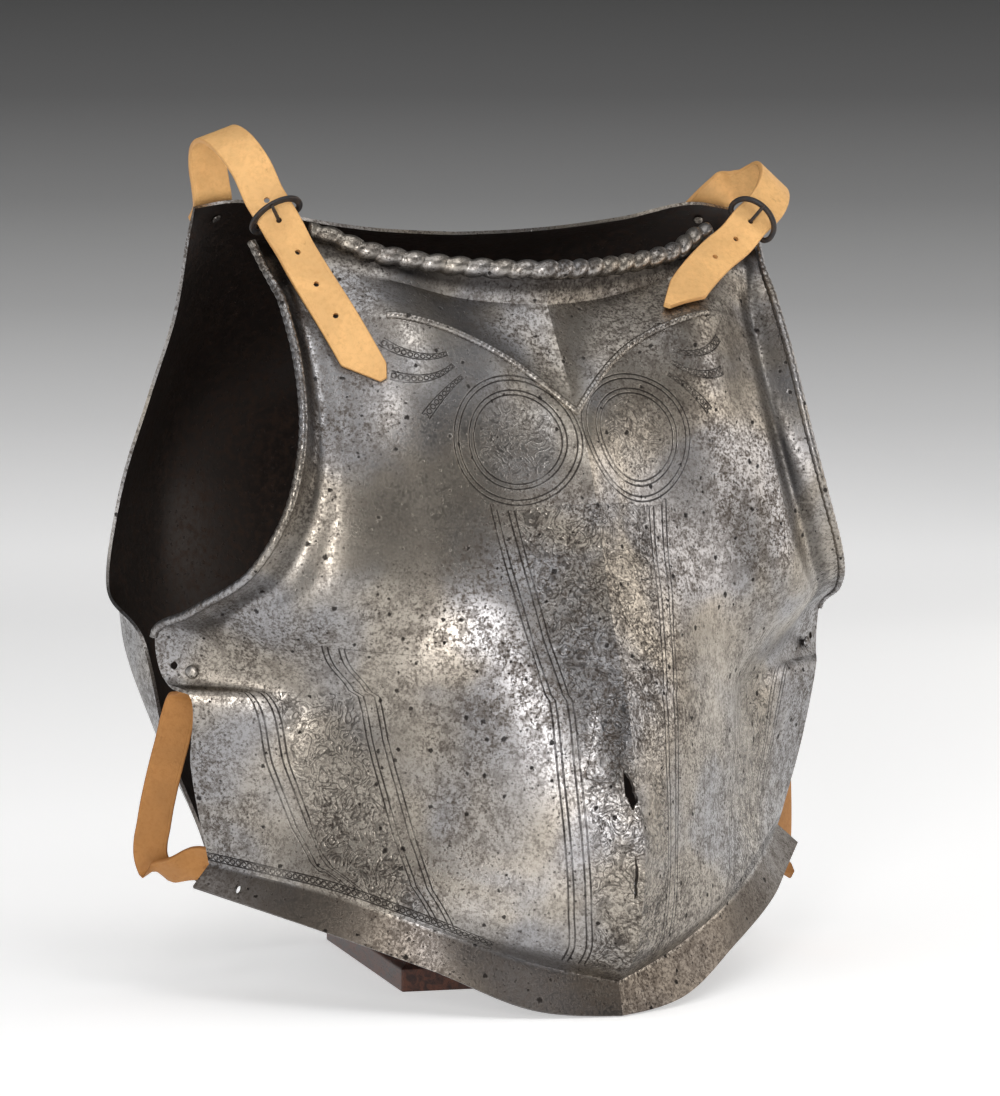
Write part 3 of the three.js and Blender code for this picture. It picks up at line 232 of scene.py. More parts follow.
def spline(points, creases=()):
    """A smooth curve through points, or through rows of points, by segment number and share."""
    points = np.asarray(points, float)
    last = len(points) - 1
    step = np.maximum(np.linalg.norm(np.diff(points, axis=0), axis=-1, keepdims=True), 1e-6)
    slope = np.diff(points, axis=0) / step

    def inner(i):
        return (slope[i - 1] * step[i] + slope[i] * step[i - 1]) / (step[i - 1] + step[i])

    def is_free(i):
        return i in (0, last) or i in creases

    def tangent(i, segment):
        if not is_free(i):
            return inner(i)
        other = segment + 1 if i == segment else segment
        return slope[segment] if is_free(other) else slope[segment] * 1.5 - inner(other) * 0.5

    def at(values):
        values = np.atleast_1d(np.asarray(values, float))
        out = np.empty((len(values),) + points.shape[1:])
        segments = np.clip(values.astype(int), 0, last - 1)
        for k in range(last):
            chosen = segments == k
            if not chosen.any():
                continue
            f = (values[chosen] - k).reshape((-1,) + (1,) * (points.ndim - 1))
            out[chosen] = (
                points[k] * (2 * f**3 - 3 * f**2 + 1) + points[k + 1] * (3 * f**2 - 2 * f**3)
                + tangent(k, k) * step[k] * (f**3 - 2 * f**2 + f)
                + tangent(k + 1, k) * step[k] * (f**3 - f**2))
        return out

    return at


def plate_surface(rows, creases):
    """The plate as a function of signed stations and sections: points by section, station."""
    across = spline(np.swapaxes(np.array(rows), 0, 1))

    def at(stations, sections):
        stations = np.atleast_1d(stations)
        columns = np.swapaxes(across(np.abs(stations)), 0, 1)
        points = spline(columns, creases)(sections)
        points[..., 0] *= np.where(stations < 0, -1, 1)
        return points

    return at


def breast_row(section):
    ridge, band, breast, border, edge, sink = section
    size = np.array([HALF_WIDTH, -BELLY_DEPTH, BREAST_HEIGHT])
    border, edge = np.array(border) * size, np.array(edge) * size
    channel = border + (edge - border) * 0.45
    channel[1] += sink * BORDER_SINK
    inner = [np.array(p) * size for p in ([0, *ridge], [BAND_X, *band], [BREAST_X, *breast])]
    return inner + [border, channel, edge]


def back_row(section):
    size = np.array([BACK_HALF_WIDTH, BACK_DEPTH, BACK_HEIGHT])
    return [np.array(p) * size for p in ([0, *section[0]], *section[1:])]


on_breast = plate_surface([breast_row(s) for s in BREAST_SECTIONS], BREAST_CREASES)
on_back = plate_surface([back_row(s) for s in BACK_SECTIONS], BACK_CREASES)


def spot(surface, station, section):
    return surface([station], [section])[0, 0]


def unit(vectors):
    vectors = np.asarray(vectors, float)
    return vectors / np.maximum(np.linalg.norm(vectors, axis=-1, keepdims=True), 1e-9)


def outward_of(surface, station, section, outward=1):
    """The plate's outward direction at a spot of its left half."""
    h = 0.04
    across = spot(surface, station + h, section) - spot(surface, station - h, section)
    up = spot(surface, station, section + h) - spot(surface, station, section - h)
    return unit(np.cross(across, up)) * outward


def sized(shares):
    return np.array(shares) * (HALF_WIDTH, BELLY_DEPTH, BREAST_HEIGHT)


def steps_of(counts):
    """Curve values that cut each segment into the given number of steps."""
    parts = [k + np.arange(n) / n for k, n in enumerate(counts)]
    return np.concatenate(parts + [[len(counts)]])


def reach_of(points):
    """Distance along a line of points, at each point."""
    return np.concatenate([[0], np.cumsum(np.linalg.norm(np.diff(points, axis=0), axis=1))])


def evenly(points, count):
    """The line cut into count equal steps."""
    reach = reach_of(points)
    wanted = np.linspace(0, reach[-1], count + 1)
    return np.stack([np.interp(wanted, reach, points[:, k]) for k in range(3)], axis=1)


# Meshes

def in_metres(points):
    return (np.asarray(points, float) - (0, SET_BACK, 0)) * MM


def add_piece(name, mesh, replaced=()):
    piece = bpy.data.objects.new(name, mesh)
    bpy.context.scene.collection.objects.link(piece)
    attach(piece, "root")
    if replaced:
        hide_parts(*replaced)
    return piece


def bent_grid(name, points, flip=False, join=False, caps=False, marks=None):
    """A mesh from a flat grid whose corners move to points[row, column]; marks are attributes."""
    rows, columns = points.shape[:2]
    bm = bmesh.new()
    bmesh.ops.create_grid(bm, x_segments=columns - 1, y_segments=rows - 1, size=1.0)
    if len(bm.verts) != rows * columns:
        raise RuntimeError(f"{name}: the grid has {len(bm.verts)} corners")
    layers = {key: bm.verts.layers.float.new(key) for key in (marks or {})}
    placed = in_metres(points)
    for vert in bm.verts:
        i = round((vert.co.x + 1) / 2 * (columns - 1))
        j = round((vert.co.y + 1) / 2 * (rows - 1))
        vert.co = placed[j, i]
        for key, layer in layers.items():
            vert[layer] = float(marks[key][j, i])
    if join:
        bmesh.ops.remove_doubles(bm, verts=bm.verts, dist=1e-7)
    if caps:
        open_edges = [e for e in bm.edges if e.is_boundary]
        bmesh.ops.holes_fill(bm, edges=open_edges, sides=0)
    if join or caps:
        bmesh.ops.recalc_face_normals(bm, faces=bm.faces)
    elif flip:
        bmesh.ops.reverse_faces(bm, faces=bm.faces)
    mesh = bpy.data.meshes.new(name)
    bm.to_mesh(mesh)
    bm.free()
    mesh.shade_smooth()
    return mesh


def swept(name, centres, acrosses, sections, closed=False, marks=None):
    """A solid bar along centres; sections[i] holds [along across, along normal] pairs."""
    if closed:
        centres = np.vstack([centres[-1:], centres, centres[:2]])
        acrosses = np.vstack([acrosses[-1:], acrosses, acrosses[:2]])
        sections = np.concatenate([sections[-1:], sections, sections[:2]])
    ahead = unit(np.gradient(centres, axis=0))
    across = unit(acrosses - ahead * (acrosses * ahead).sum(1, keepdims=True))
    normal = np.cross(ahead, across)
    points = (centres[:, None] + across[:, None] * sections[..., :1]
              + normal[:, None] * sections[..., 1:])
    if closed:
        points = points[1:-1]
    points = np.concatenate([points, points[:, :1]], axis=1)
    if marks:
        marks = {key: np.concatenate([value, value[:, :1]], axis=1) for key, value in marks.items()}
    return bent_grid(name, points, join=True, caps=not closed, marks=marks)


def sided(mesh, side):
    """Turns a mesh that is shaped on the left side over for the right side."""
    if side < 0:
        mesh.transform(Matrix.Diagonal((-1, 1, 1, 1)))
        mesh.flip_normals()
    return mesh


def round_section(radius, sides):
    angle = 2 * np.pi * np.arange(sides) / sides
    return np.stack([radius * np.cos(angle), radius * np.sin(angle)], axis=1)


def band_section(low, high, thickness, corner, flats=8, arcs=4):
    """A strap's section between two edges, with rounded corners."""
    t = thickness / 2 - corner
    out = []
    corners = [
        (high - corner, t, 0), (low + corner, t, 90), (low + corner, -t, 180), (high - corner, -t, 270)]
    for k, (a, n, start) in enumerate(corners):
        for degrees in np.linspace(start, start + 90, arcs + 1):
            angle = math.radians(degrees)
            out.append((a + corner * math.cos(angle), n + corner * math.sin(angle)))
        if k in (0, 2):
            other = corners[k + 1]
            rise = corner if k == 0 else -corner
            for f in np.arange(1, flats) / flats:
                out.append((a + (other[0] - a) * f, n + rise))
    return np.array(out)


def baked(piece):
    """Puts the result of a piece's modifiers into its mesh."""
    bpy.context.view_layer.update()
    depsgraph = bpy.context.evaluated_depsgraph_get()
    mesh = bpy.data.meshes.new_from_object(
        piece.evaluated_get(depsgraph), preserve_all_data_layers=True, depsgraph=depsgraph)
    old = piece.data
    piece.modifiers.clear()
    piece.data = mesh
    bpy.data.meshes.remove(old)
    mesh.name = piece.name


def cut_away(piece, cutters):
    """Cuts a mesh of closed solids out of a piece."""
    before = len(piece.data.polygons)
    tool = bpy.data.objects.new("cutters", cutters)
    bpy.context.scene.collection.objects.link(tool)
    cut = piece.modifiers.new("Cut", "BOOLEAN")
    cut.operation = "DIFFERENCE"
    cut.object = tool
    cut.solver = "EXACT"
    baked(piece)
    bpy.data.objects.remove(tool)
    bpy.data.meshes.remove(cutters)
    if len(piece.data.polygons) < before * 0.8:
        raise RuntimeError(f"{piece.name}: the cut took the piece away")


def add_pin(bm, point, direction, radius, length, stretch=1.0, sides=20):
    """A round cutter through a point; stretch makes it oval."""
    turn = Vector(direction).to_track_quat("Z", "Y").to_matrix().to_4x4()
    place = Matrix.Translation(Vector(in_metres(point))) @ turn @ Matrix.Diagonal((1, stretch, 1, 1))
    bmesh.ops.create_cone(
        bm, cap_ends=True, segments=sides, radius1=radius * MM, radius2=radius * MM,
        depth=length * MM, matrix=place)


def as_mesh(name, bm):
    bmesh.ops.recalc_face_normals(bm, faces=bm.faces)
    mesh = bpy.data.meshes.new(name)
    bm.to_mesh(mesh)
    bm.free()
    return mesh


def sharpen(piece, degrees, ridge=False):
    """Sharpens a piece's steep edges, and the edges on its middle line if it has a ridge."""
    mesh = piece.data
    mesh.shade_smooth()
    mesh.set_sharp_from_angle(angle=math.radians(degrees))
    if ridge:
        for edge in mesh.edges:
            if all(abs(mesh.vertices[k].co.x) < 0.05 * MM for k in edge.vertices):
                edge.use_edge_sharp = True


# Shader nodes

class Graph:
    """Adds nodes to a tree, each linked to what feeds it."""

    def __init__(self, tree):
        self.tree = tree

    def feed(self, socket, value):
        if isinstance(value, bpy.types.NodeSocket):
            self.tree.links.new(value, socket)
        else:
            socket.default_value = value

    def add(self, kind, inputs=None, **settings):
        node = self.tree.nodes.new(kind)
        for key, value in settings.items():
            setattr(node, key, value)
        for key, value in (inputs or {}).items():
            self.feed(node.inputs[key], value)
        return node

    def math(self, operation, *values, clamp=False):
        node = self.add("ShaderNodeMath", operation=operation, use_clamp=clamp)
        for socket, value in zip(node.inputs, values):
            self.feed(socket, value)
        return node.outputs[0]

    def times(self, first, second):
        return self.math("MULTIPLY", first, second)

    def divided(self, first, second):
        return self.math("DIVIDE", first, second)

    def plus(self, first, second, clamp=False):
        return self.math("ADD", first, second, clamp=clamp)

    def minus(self, first, second):
        return self.math("SUBTRACT", first, second)

    def larger(self, first, second):
        return self.math("MAXIMUM", first, second)

    def magnitude(self, value):
        return self.math("ABSOLUTE", value)

    def step(self, value, low, high, to_low=0.0, to_high=1.0):
        """Smooth change from to_low at low to to_high at high."""
        node = self.add("ShaderNodeMapRange", interpolation_type="SMOOTHSTEP")
        for socket, part in zip(node.inputs, (value, low, high, to_low, to_high)):
            self.feed(socket, part)
        return node.outputs[0]

    def blend(self, factor, first, second):
        node = self.add("ShaderNodeMix", data_type="RGBA")
        self.feed(node.inputs[0], factor)
        self.feed(node.inputs[6], first)
        self.feed(node.inputs[7], second)
        return node.outputs[2]

    def noise(self, where, scale, detail=3.0, roughness=0.55, distortion=0.0):
        return self.add("ShaderNodeTexNoise", {
            "Vector": where, "Scale": scale, "Detail": detail, "Roughness": roughness,
            "Distortion": distortion}).outputs["Fac"]

    def cells(self, where, scale, feature="F1"):
        return self.add("ShaderNodeTexVoronoi", {"Vector": where, "Scale": scale}, feature=feature)

    def stretch(self, where, scale):
        return self.add("ShaderNodeMapping", {"Vector": where, "Scale": scale}).outputs[0]

    def here(self):
        return self.add("ShaderNodeTexCoord").outputs["Object"]

    def mark(self, name):
        return self.add("ShaderNodeAttribute", attribute_name=name).outputs["Fac"]

    def use(self, group, **inputs):
        node = self.add("ShaderNodeGroup", node_tree=group)
        for key, value in inputs.items():
            self.feed(node.inputs[key], value)
        return node.outputs[0]

    def bump(self, height, distance, strength=1.0, normal=None):
        node = self.add("ShaderNodeBump", {"Height": height, "Distance": distance, "Strength": strength})
        if normal is not None:
            self.feed(node.inputs["Normal"], normal)
        return node.outputs[0]


def effect(name, output, **inputs):
    """A node group with one output; an input is a number, or None for coordinates."""
    tree = bpy.data.node_groups.get(name)
    if tree:
        return tree, None, None
    tree = bpy.data.node_groups.new(name, "ShaderNodeTree")
    tree.interface.new_socket(output, in_out="OUTPUT", socket_type="NodeSocketFloat")
    for key, value in inputs.items():
        kind = "NodeSocketVector" if value is None else "NodeSocketFloat"
        socket = tree.interface.new_socket(key, in_out="INPUT", socket_type=kind)
        if value is not None:
            socket.default_value = value
    graph = Graph(tree)
    source = graph.add("NodeGroupInput").outputs
    sink = graph.add("NodeGroupOutput").inputs[0]
    return tree, graph, (source, sink)


def pits_effect():
    """Scattered round pits of mixed sizes."""
    tree, g, ends = effect("Pits", "Pit", Where=None, Scale=200.0, Share=0.4, Size=0.3)
    if g:
        source, sink = ends
        cells = g.cells(source["Where"], source["Scale"])
        wobble = g.noise(source["Where"], g.times(source["Scale"], 3.0), 2.0)
        distance = g.plus(cells.outputs["Distance"], g.times(g.minus(wobble, 0.5), 0.35))
        split = g.add("ShaderNodeSeparateColor", {"Color": cells.outputs["Color"]})
        radius = g.times(source["Size"], g.plus(split.outputs[1], 0.35))
        inside = g.step(distance, radius, g.times(radius, 0.55))
        chosen = g.math("LESS_THAN", split.outputs[0], source["Share"])
        g.feed(sink, g.times(inside, chosen))
    return tree


def mottle_effect():
    """Fine blotches where patina has stayed in the metal or leather."""
    tree, g, ends = effect("Mottle", "Blotch", Where=None, Scale=600.0, Level=0.5, Soft=0.06)
    if g:
        source, sink = ends
        fine = g.noise(source["Where"], source["Scale"], 5.0, 0.72)
        wide = g.noise(source["Where"], g.times(source["Scale"], 0.12), 3.0, 0.6)
        level = g.plus(fine, g.times(g.minus(wide, 0.5), 0.22))
        g.feed(sink, g.step(
            level, g.minus(source["Level"], source["Soft"]),
            g.plus(source["Level"], source["Soft"])))
    return tree


def lines_effect():
    """Two pairs of fine grooves on both sides of a distance of 0, in millimetres."""
    tree, g, ends = effect("BorderLines", "Groove", Distance=0.0, Apart=4.4, Pair=1.45, Width=0.62)
    if g:
        source, sink = ends
        pair = g.magnitude(g.minus(g.magnitude(source["Distance"]), source["Apart"]))
        line = g.magnitude(g.minus(pair, source["Pair"]))
        g.feed(sink, g.step(line, source["Width"], g.times(source["Width"], 0.35)))
    return tree


def scrolls_effect():
    """Winding grooves of etched leaf scrolls."""
    tree, g, ends = effect("Scrolls", "Groove", Where=None, Scale=90.0, Width=0.03)
    if g:
        source, sink = ends
        field = g.noise(source["Where"], source["Scale"], 1.2, 0.45, 1.6)
        folded = g.math("PINGPONG", g.plus(field, 0.02), 0.09)
        finer = g.noise(source["Where"], g.times(source["Scale"], 2.6), 1.0, 0.5, 1.0)
        second = g.math("PINGPONG", finer, 0.14)
        first = g.step(folded, source["Width"], g.times(source["Width"], 0.3))
        other = g.step(second, g.times(source["Width"], 0.9), g.times(source["Width"], 0.2))
        g.feed(sink, g.larger(first, g.times(other, 0.55)))
    return tree


def bead_row(g, along, side, pitch, size):
    """Outlined beads between two lines, from the distances along and across the row."""
    place = g.times(g.minus(g.math("FRACT", g.divided(along, pitch)), 0.5), pitch)
    radius = g.math("SQRT", g.plus(g.times(place, place), g.times(side, side)))
    bead = g.step(g.magnitude(g.minus(radius, size)), 0.5, 0.15)
    edge = g.step(g.magnitude(g.minus(g.magnitude(side), g.plus(size, 0.8))), 0.5, 0.18)
    return g.larger(bead, edge)


def beaded_arc(g, x, z, points):
    """A tapering row of beads along the circle through three points in front view."""
    (ax, az), (bx, bz), (cx, cz) = points
    turn = 2 * (ax * (bz - cz) + bx * (cz - az) + cx * (az - bz))
    a2, b2, c2 = ax * ax + az * az, bx * bx + bz * bz, cx * cx + cz * cz
    mx = (a2 * (bz - cz) + b2 * (cz - az) + c2 * (az - bz)) / turn
    mz = (a2 * (cx - bx) + b2 * (ax - cx) + c2 * (bx - ax)) / turn
    bend = math.hypot(ax - mx, az - mz)
    across = 1 if mz > bz else -1
    right = g.minus(g.magnitude(x), mx)
    rise = g.minus(z, mz)
    reach = g.math("SQRT", g.plus(g.times(right, right), g.times(rise, rise)))
    angle = g.math("ARCTAN2", right, g.times(rise, -across))
    first = math.atan2(ax - mx, -across * (az - mz))
    run = g.times(g.minus(angle, first), bend)
    length = bend * (math.atan2(cx - mx, -across * (cz - mz)) - first)
    taper = g.step(run, 0.0, length, 0.55, 1.15)
    side = g.divided(g.minus(reach, bend), taper)
    within = g.times(g.step(run, -0.4, 0.2), g.step(run, length + 0.4, length - 0.2))
    return g.times(within, bead_row(g, run, side, *SPRAY_BEADS))


def new_material(name, rough, metal):
    material = bpy.data.materials.new(name)
    material.use_nodes = True
    graph = Graph(material.node_tree)
    shader = material.node_tree.nodes["Principled BSDF"]
    shader.inputs["Roughness"].default_value = rough
    shader.inputs["Metallic"].default_value = metal
    return material, graph, shader


def once(make):
    """Makes each material under its name only once."""
    def made(name, *settings):
        return bpy.data.materials.get(name) or make(name, *settings)
    return made


def finish_shader(g, shader, colour, rough, height, distance, strength=1.0):
    g.feed(shader.inputs["Base Color"], colour)
    g.feed(shader.inputs["Roughness"], rough)
    g.feed(shader.inputs["Normal"], g.bump(height, distance, strength))


def etched_lines(g, where):
    """Grooves of the borders, rings, scrolls, bead row and sprays, worn away in places."""
    borders = [g.use(lines_effect(), Distance=g.mark(key)) for key in BORDER_LINES]
    lines = g.larger(g.larger(borders[0], borders[1]), borders[2])
    ring = g.minus(g.mark("medallion"), MEDALLION_RADIUS - 5.5)
    lines = g.larger(lines, g.use(lines_effect(), Distance=ring, Apart=4.1, Pair=1.3))
    scrolls = g.use(scrolls_effect(), Where=where, Scale=90.0, Width=0.045)
    lines = g.larger(lines, g.times(scrolls, g.times(g.mark("ornament"), 0.7)))
    lines = g.larger(lines, bead_row(g, g.mark("hem_run"), g.mark("hem"), *HEM_BEADS))
    split = g.add("ShaderNodeSeparateXYZ", {"Vector": g.stretch(where, (1 / MM, 1 / MM, 1 / MM))})
    for spray in SPRAYS:
        lines = g.larger(lines, beaded_arc(g, split.outputs["X"], split.outputs["Z"], spray))
    worn = g.step(g.noise(where, 38.0, 3.0, 0.6), 0.36, 0.52, 0.60, 1.0)
    return g.times(lines, worn)


@once
def steel_material(name, settings, etched):
    """Worn bright steel with pits and patina, and with the etched ornament and painted shade in the neck
    groove and arm channel on the breastplate.
    """
    material, g, shader = new_material(name, 0.4, 1.0)
    where = g.here()
    specks = g.use(mottle_effect(), Where=where, Scale=640.0, Level=0.53, Soft=0.09)
    grime = g.use(mottle_effect(), Where=where, Scale=170.0, Level=0.53, Soft=0.09)
    pits = g.use(pits_effect(), Where=where, Scale=150.0, Share=0.45, Size=0.20)
    pores = g.use(pits_effect(), Where=where, Scale=480.0, Share=0.35, Size=0.30)
    region = g.noise(where, 9.0, 3.0, 0.6)
    hue = g.noise(where, 14.0, 2.0, 0.5, 0.5)
    warm = g.blend(g.step(hue, 0.38, 0.62), (*settings.cool, 1), (*settings.warm, 1))
    dark = g.times(specks, g.step(region, 0.36, 0.62, 0.50, 1.0))
    colour = g.blend(dark, warm, (*settings.patina, 1))
    colour = g.blend(g.times(grime, g.step(region, 0.36, 0.62, 0.30, 0.70)), colour, (*settings.patina, 1))
    deep = g.larger(pits, g.times(pores, 0.6))
    height = g.times(deep, -0.5)
    height = g.plus(height, g.times(specks, -0.05))
    height = g.plus(height, g.times(g.noise(where, 160.0, 3.0, 0.5), 0.05))
    if etched:
        lines = etched_lines(g, where)
        colour = g.blend(g.times(lines, 0.85), colour, (*settings.pit_and_shade, 1))
        height = g.plus(height, g.times(lines, -0.45))
        torn = g.plus(g.mark("tear"), g.times(g.minus(g.noise(where, 130.0, 4.0, 0.6), 0.5), 1.4))
        flake = g.step(torn, 0.44, 0.52)
        rim = g.step(g.magnitude(g.minus(torn, 0.42)), 0.07, 0.02)
        colour = g.blend(g.times(rim, 0.8), colour, (*settings.patina, 1))
        height = g.plus(height, g.times(flake, 1.6))
        level = g.mark("section")
        # Painted shade: the neck groove under the rope and the arm channel are darkened towards the pit
        # colour
        groove_shade = g.step(level, *NECK_GROOVE)
        station = g.mark("station")
        channel = g.times(g.step(station, *ARM_CHANNEL_START), g.step(station, *ARM_CHANNEL_END))
        channel = g.times(channel, g.step(level, *ARM_CHANNEL_FOOT))
        groove_shade = g.larger(groove_shade, g.times(channel, 0.7))
        colour = g.blend(g.times(groove_shade, 0.85), colour, (*settings.pit_and_shade, 1))
        hem = g.step(level, *FLANGE_EDGE)
        colour = g.blend(g.times(hem, 0.75), colour, (*settings.flange, 1))
    colour = g.blend(g.times(deep, 0.85), colour, (*settings.pit_and_shade, 1))
    rough = g.plus(0.29, g.times(dark, 0.20))
    rough = g.plus(rough, g.times(grime, 0.10))
    rough = g.plus(rough, g.times(deep, 0.30), clamp=True)
    finish_shader(g, shader, colour, rough, height, 0.5 * MM)
    return material


@once
def blackened_material(name, base, rust, rough):
    """Blackened iron with a little brown showing through."""
    material, g, shader = new_material(name, rough, 0.6)
    where = g.here()
    blotch = g.use(mottle_effect(), Where=where, Scale=240.0, Level=0.55, Soft=0.12)
    pores = g.use(pits_effect(), Where=where, Scale=420.0, Share=0.5, Size=0.3)
    colour = g.blend(blotch, (*base, 1), (*rust, 1))
    height = g.plus(g.times(pores, -0.4), g.times(g.noise(where, 350.0, 3.0), 0.3))
    finish_shader(g, shader, colour, g.plus(rough, g.times(blotch, 0.15)), height, 0.3 * MM)
    return material


@once
def leather_material(name, tone, half_width):
    """Vegetable-tanned leather: fine grain, pale streaks, burnished edges and darker stains."""
    material, g, shader = new_material(name, 0.55, 0.0)
    where = g.here()
    tone = np.array(tone)
    grain = g.cells(where, 900.0).outputs["Distance"]
    fibre = g.noise(where, 420.0, 4.0, 0.65, 0.3)
    cloud = g.noise(where, 28.0, 4.0, 0.6, 0.6)
    marks = g.use(mottle_effect(), Where=where, Scale=150.0, Level=0.66, Soft=0.05)
    colour = g.blend(g.step(cloud, 0.30, 0.70), (*(tone * 0.86), 1), (*np.minimum(tone * 1.10, 1), 1))
    colour = g.blend(g.times(g.step(fibre, 0.42, 0.68), 0.30), colour, (*(tone * (0.72, 0.62, 0.5)), 1))
    colour = g.blend(g.times(marks, 0.45), colour, (*(tone * (0.55, 0.45, 0.35)), 1))
    edge = g.step(g.magnitude(g.mark("across")), half_width - 0.9, half_width - 0.1)
    colour = g.blend(g.times(edge, 0.55), colour, (*(tone * (0.60, 0.50, 0.42)), 1))
    crease = g.step(g.magnitude(g.minus(g.magnitude(g.mark("across")), half_width - 1.7)), 0.45, 0.1)
    height = g.plus(g.times(grain, 0.35), g.times(fibre, 0.5))
    height = g.minus(height, g.times(crease, 0.35))
    rough = g.plus(0.50, g.times(fibre, 0.18))
    finish_shader(g, shader, colour, rough, height, 0.22 * MM)
    shader.inputs["Specular IOR Level"].default_value = 0.35
    return material


@once
def wood_material(name, dark, light):
    """Stained hardwood with grain along the base's length."""
    material, g, shader = new_material(name, 0.35, 0.0)
    where = g.stretch(g.here(), (9.0, 1.0, 9.0))
    rings = g.noise(where, 22.0, 5.0, 0.6, 1.2)
    pores = g.noise(g.stretch(g.here(), (60.0, 4.0, 60.0)), 22.0, 2.0, 0.6)
    colour = g.blend(g.step(rings, 0.35, 0.65), (*dark, 1), (*light, 1))
    colour = g.blend(g.step(pores, 0.60, 0.70), colour, (*(np.array(dark) * 0.5), 1))
    height = g.minus(g.times(rings, 0.3), g.step(pores, 0.60, 0.70))
    finish_shader(g, shader, colour, g.plus(0.30, g.times(rings, 0.2)), height, 0.2 * MM)
    return material


# Plates

BREAST_COLUMNS = (26, 26, 32, 16, 14)
BREAST_ROWS = (12, 12, 12, 20, 18, 16, 4, 10, 8, 8, 11, 11, 14, 14, 14, 12)
BACK_COLUMNS = (18, 18, 22, 16)
BACK_ROWS = (8, 8, 14, 16, 14, 14, 14, 14, 14, 12)
CRACK_DEPTH, CRACK_START = 60, 25
SHARP_ANGLE = 32
# Blackened metal and the brown that shows through it, and the roughness
BREAST_INSIDE = ((0.06, 0.05, 0.045), (0.09, 0.06, 0.04), 0.5)
BACK_INSIDE = ((0.016, 0.011, 0.009), (0.03, 0.016, 0.01), 0.42)


def grid_normals(points):
    return unit(np.cross(np.gradient(points, axis=1), np.gradient(points, axis=0)))


def hammered(points, depth, seed):
    """Uneven depth that hand work leaves in a plate, in millimetres, for each point."""
    flat = points.reshape(-1, 3)
    shift = Vector((seed, 0, 0))
    out = [noise.noise(Vector(p) / 46 + shift) + 0.35 * noise.noise(Vector(p) / 17 - shift) for p in flat]
    return depth * np.array(out).reshape(points.shape[:2])


def inside(outline, x, y):
    """1 inside an outline, 0 outside."""
    out = np.zeros(x.shape, bool)
    for (ax, ay), (bx, by) in zip(outline, outline[1:] + outline[:1]):
        crosses = ((ay > y) != (by > y)) & (x < (bx - ax) * (y - ay) / (by - ay + 1e-12) + ax)
        out ^= crosses
    return out.astype(float)


def softened(field, times):
    """A field averaged with its neighbours a number of times."""
    for _ in range(times):
        padded = np.pad(field, 1, mode="edge")
        around = padded[:-2, 1:-1] + padded[2:, 1:-1] + padded[1:-1, :-2] + padded[1:-1, 2:]
        field = (around + 4 * field) / 8
    return field


def ornament_marks(points, stations, sections):
    """The fields that the steel's etched ornament is drawn from."""
    size = np.abs(stations)[None, :] * np.ones((len(sections), 1))
    level = np.asarray(sections)[:, None] * np.ones((1, len(stations)))
    per_station = np.linalg.norm(np.gradient(points, axis=1), axis=-1) / np.maximum(
        np.abs(np.gradient(stations))[None, :], 1e-9)
    marks = {}
    for key, (at, where) in BORDER_LINES.items():
        line = np.interp(sections, at, where)[:, None]
        low, high = LINE_ENDS[key]
        marks[key] = np.where((level > low) & (level < high), (size - line) * per_station, FAR_OFF)
    middle = spot(on_breast, *MEDALLION)
    away = np.linalg.norm(points * np.where(points[..., :1] < 0, (-1, 1, 1), (1, 1, 1)) - middle, axis=-1)
    marks["medallion"] = away
    marks["line_band"] = np.where(away < MEDALLION_RADIUS + 2, FAR_OFF, marks["line_band"])
    within = (marks["line_band"] < -BORDER_MARGIN) & (level < BAND_SCROLLS_TOP)
    centre = within & (away > MEDALLION_RADIUS + 2)
    sides = (marks["line_flank"] > BORDER_MARGIN) & (marks["line_side"] < -BORDER_MARGIN)
    sides = sides & (level > SIDE_SCROLLS[0]) & (level < SIDE_SCROLLS[1])
    medal = (away < MEDALLION_PICTURE) & (level < 14)
    strength = np.where(centre | sides, 1.0, np.where(medal, MEDALLION_SCROLLS, 0.0))
    marks["ornament"] = softened(strength, 1)
    waist = np.searchsorted(sections, 1.0)
    rise = np.zeros(level.shape)
    rise[1:] = np.cumsum(np.linalg.norm(np.diff(points, axis=0), axis=-1), axis=0)
    marks["hem"] = np.where(size > HEM_START, rise - rise[waist] - HEM_RISE, FAR_OFF)
    girth = reach_of(points[waist])
    marks["hem_run"] = np.ones_like(level) * girth[None, :]
    marks["section"] = level
    marks["station"] = size
    torn = inside(TEAR, size, level) * (stations < 0)[None, :]
    marks["tear"] = softened(torn, 3)
    return marks


def plate_object(name, surface, columns, rows, wall, outward, hammer, seed, mark_fields):
    half = steps_of(columns)
    stations = np.concatenate([-half[:0:-1], half])
    sections = steps_of(rows)
    points = surface(stations, sections)
    normals = grid_normals(points) * -outward
    normals *= np.sign((normals[..., 1:2] * -outward).mean() or 1.0)
    marks = mark_fields(points, stations, sections) if mark_fields else None
    lift = hammered(points, hammer, seed)
    if marks:
        lift += TEAR_LIFT * marks["tear"]
    points = points + normals * lift[..., None]
    mesh = bent_grid(name, points, flip=outward < 0, marks=marks)
    piece = add_piece(name, mesh)
    shell = piece.modifiers.new("Wall", "SOLIDIFY")
    shell.thickness = wall * MM
    shell.offset = -1
    shell.material_offset = 1
    shell.material_offset_rim = 0
    return piece


def crack_prism(bm, outline):
    """A prism through the plate along Y from an outline in front view."""
    front = -BELLY_DEPTH - CRACK_START
    verts = [bm.verts.new(in_metres((x, front, share * BREAST_HEIGHT))) for x, share in outline]
    face = bm.faces.new(verts)
    moved = bmesh.ops.extrude_face_region(bm, geom=[face])["geom"]
    bmesh.ops.translate(
        bm, verts=[v for v in moved if isinstance(v, bmesh.types.BMVert)], vec=(0, CRACK_DEPTH * MM, 0))


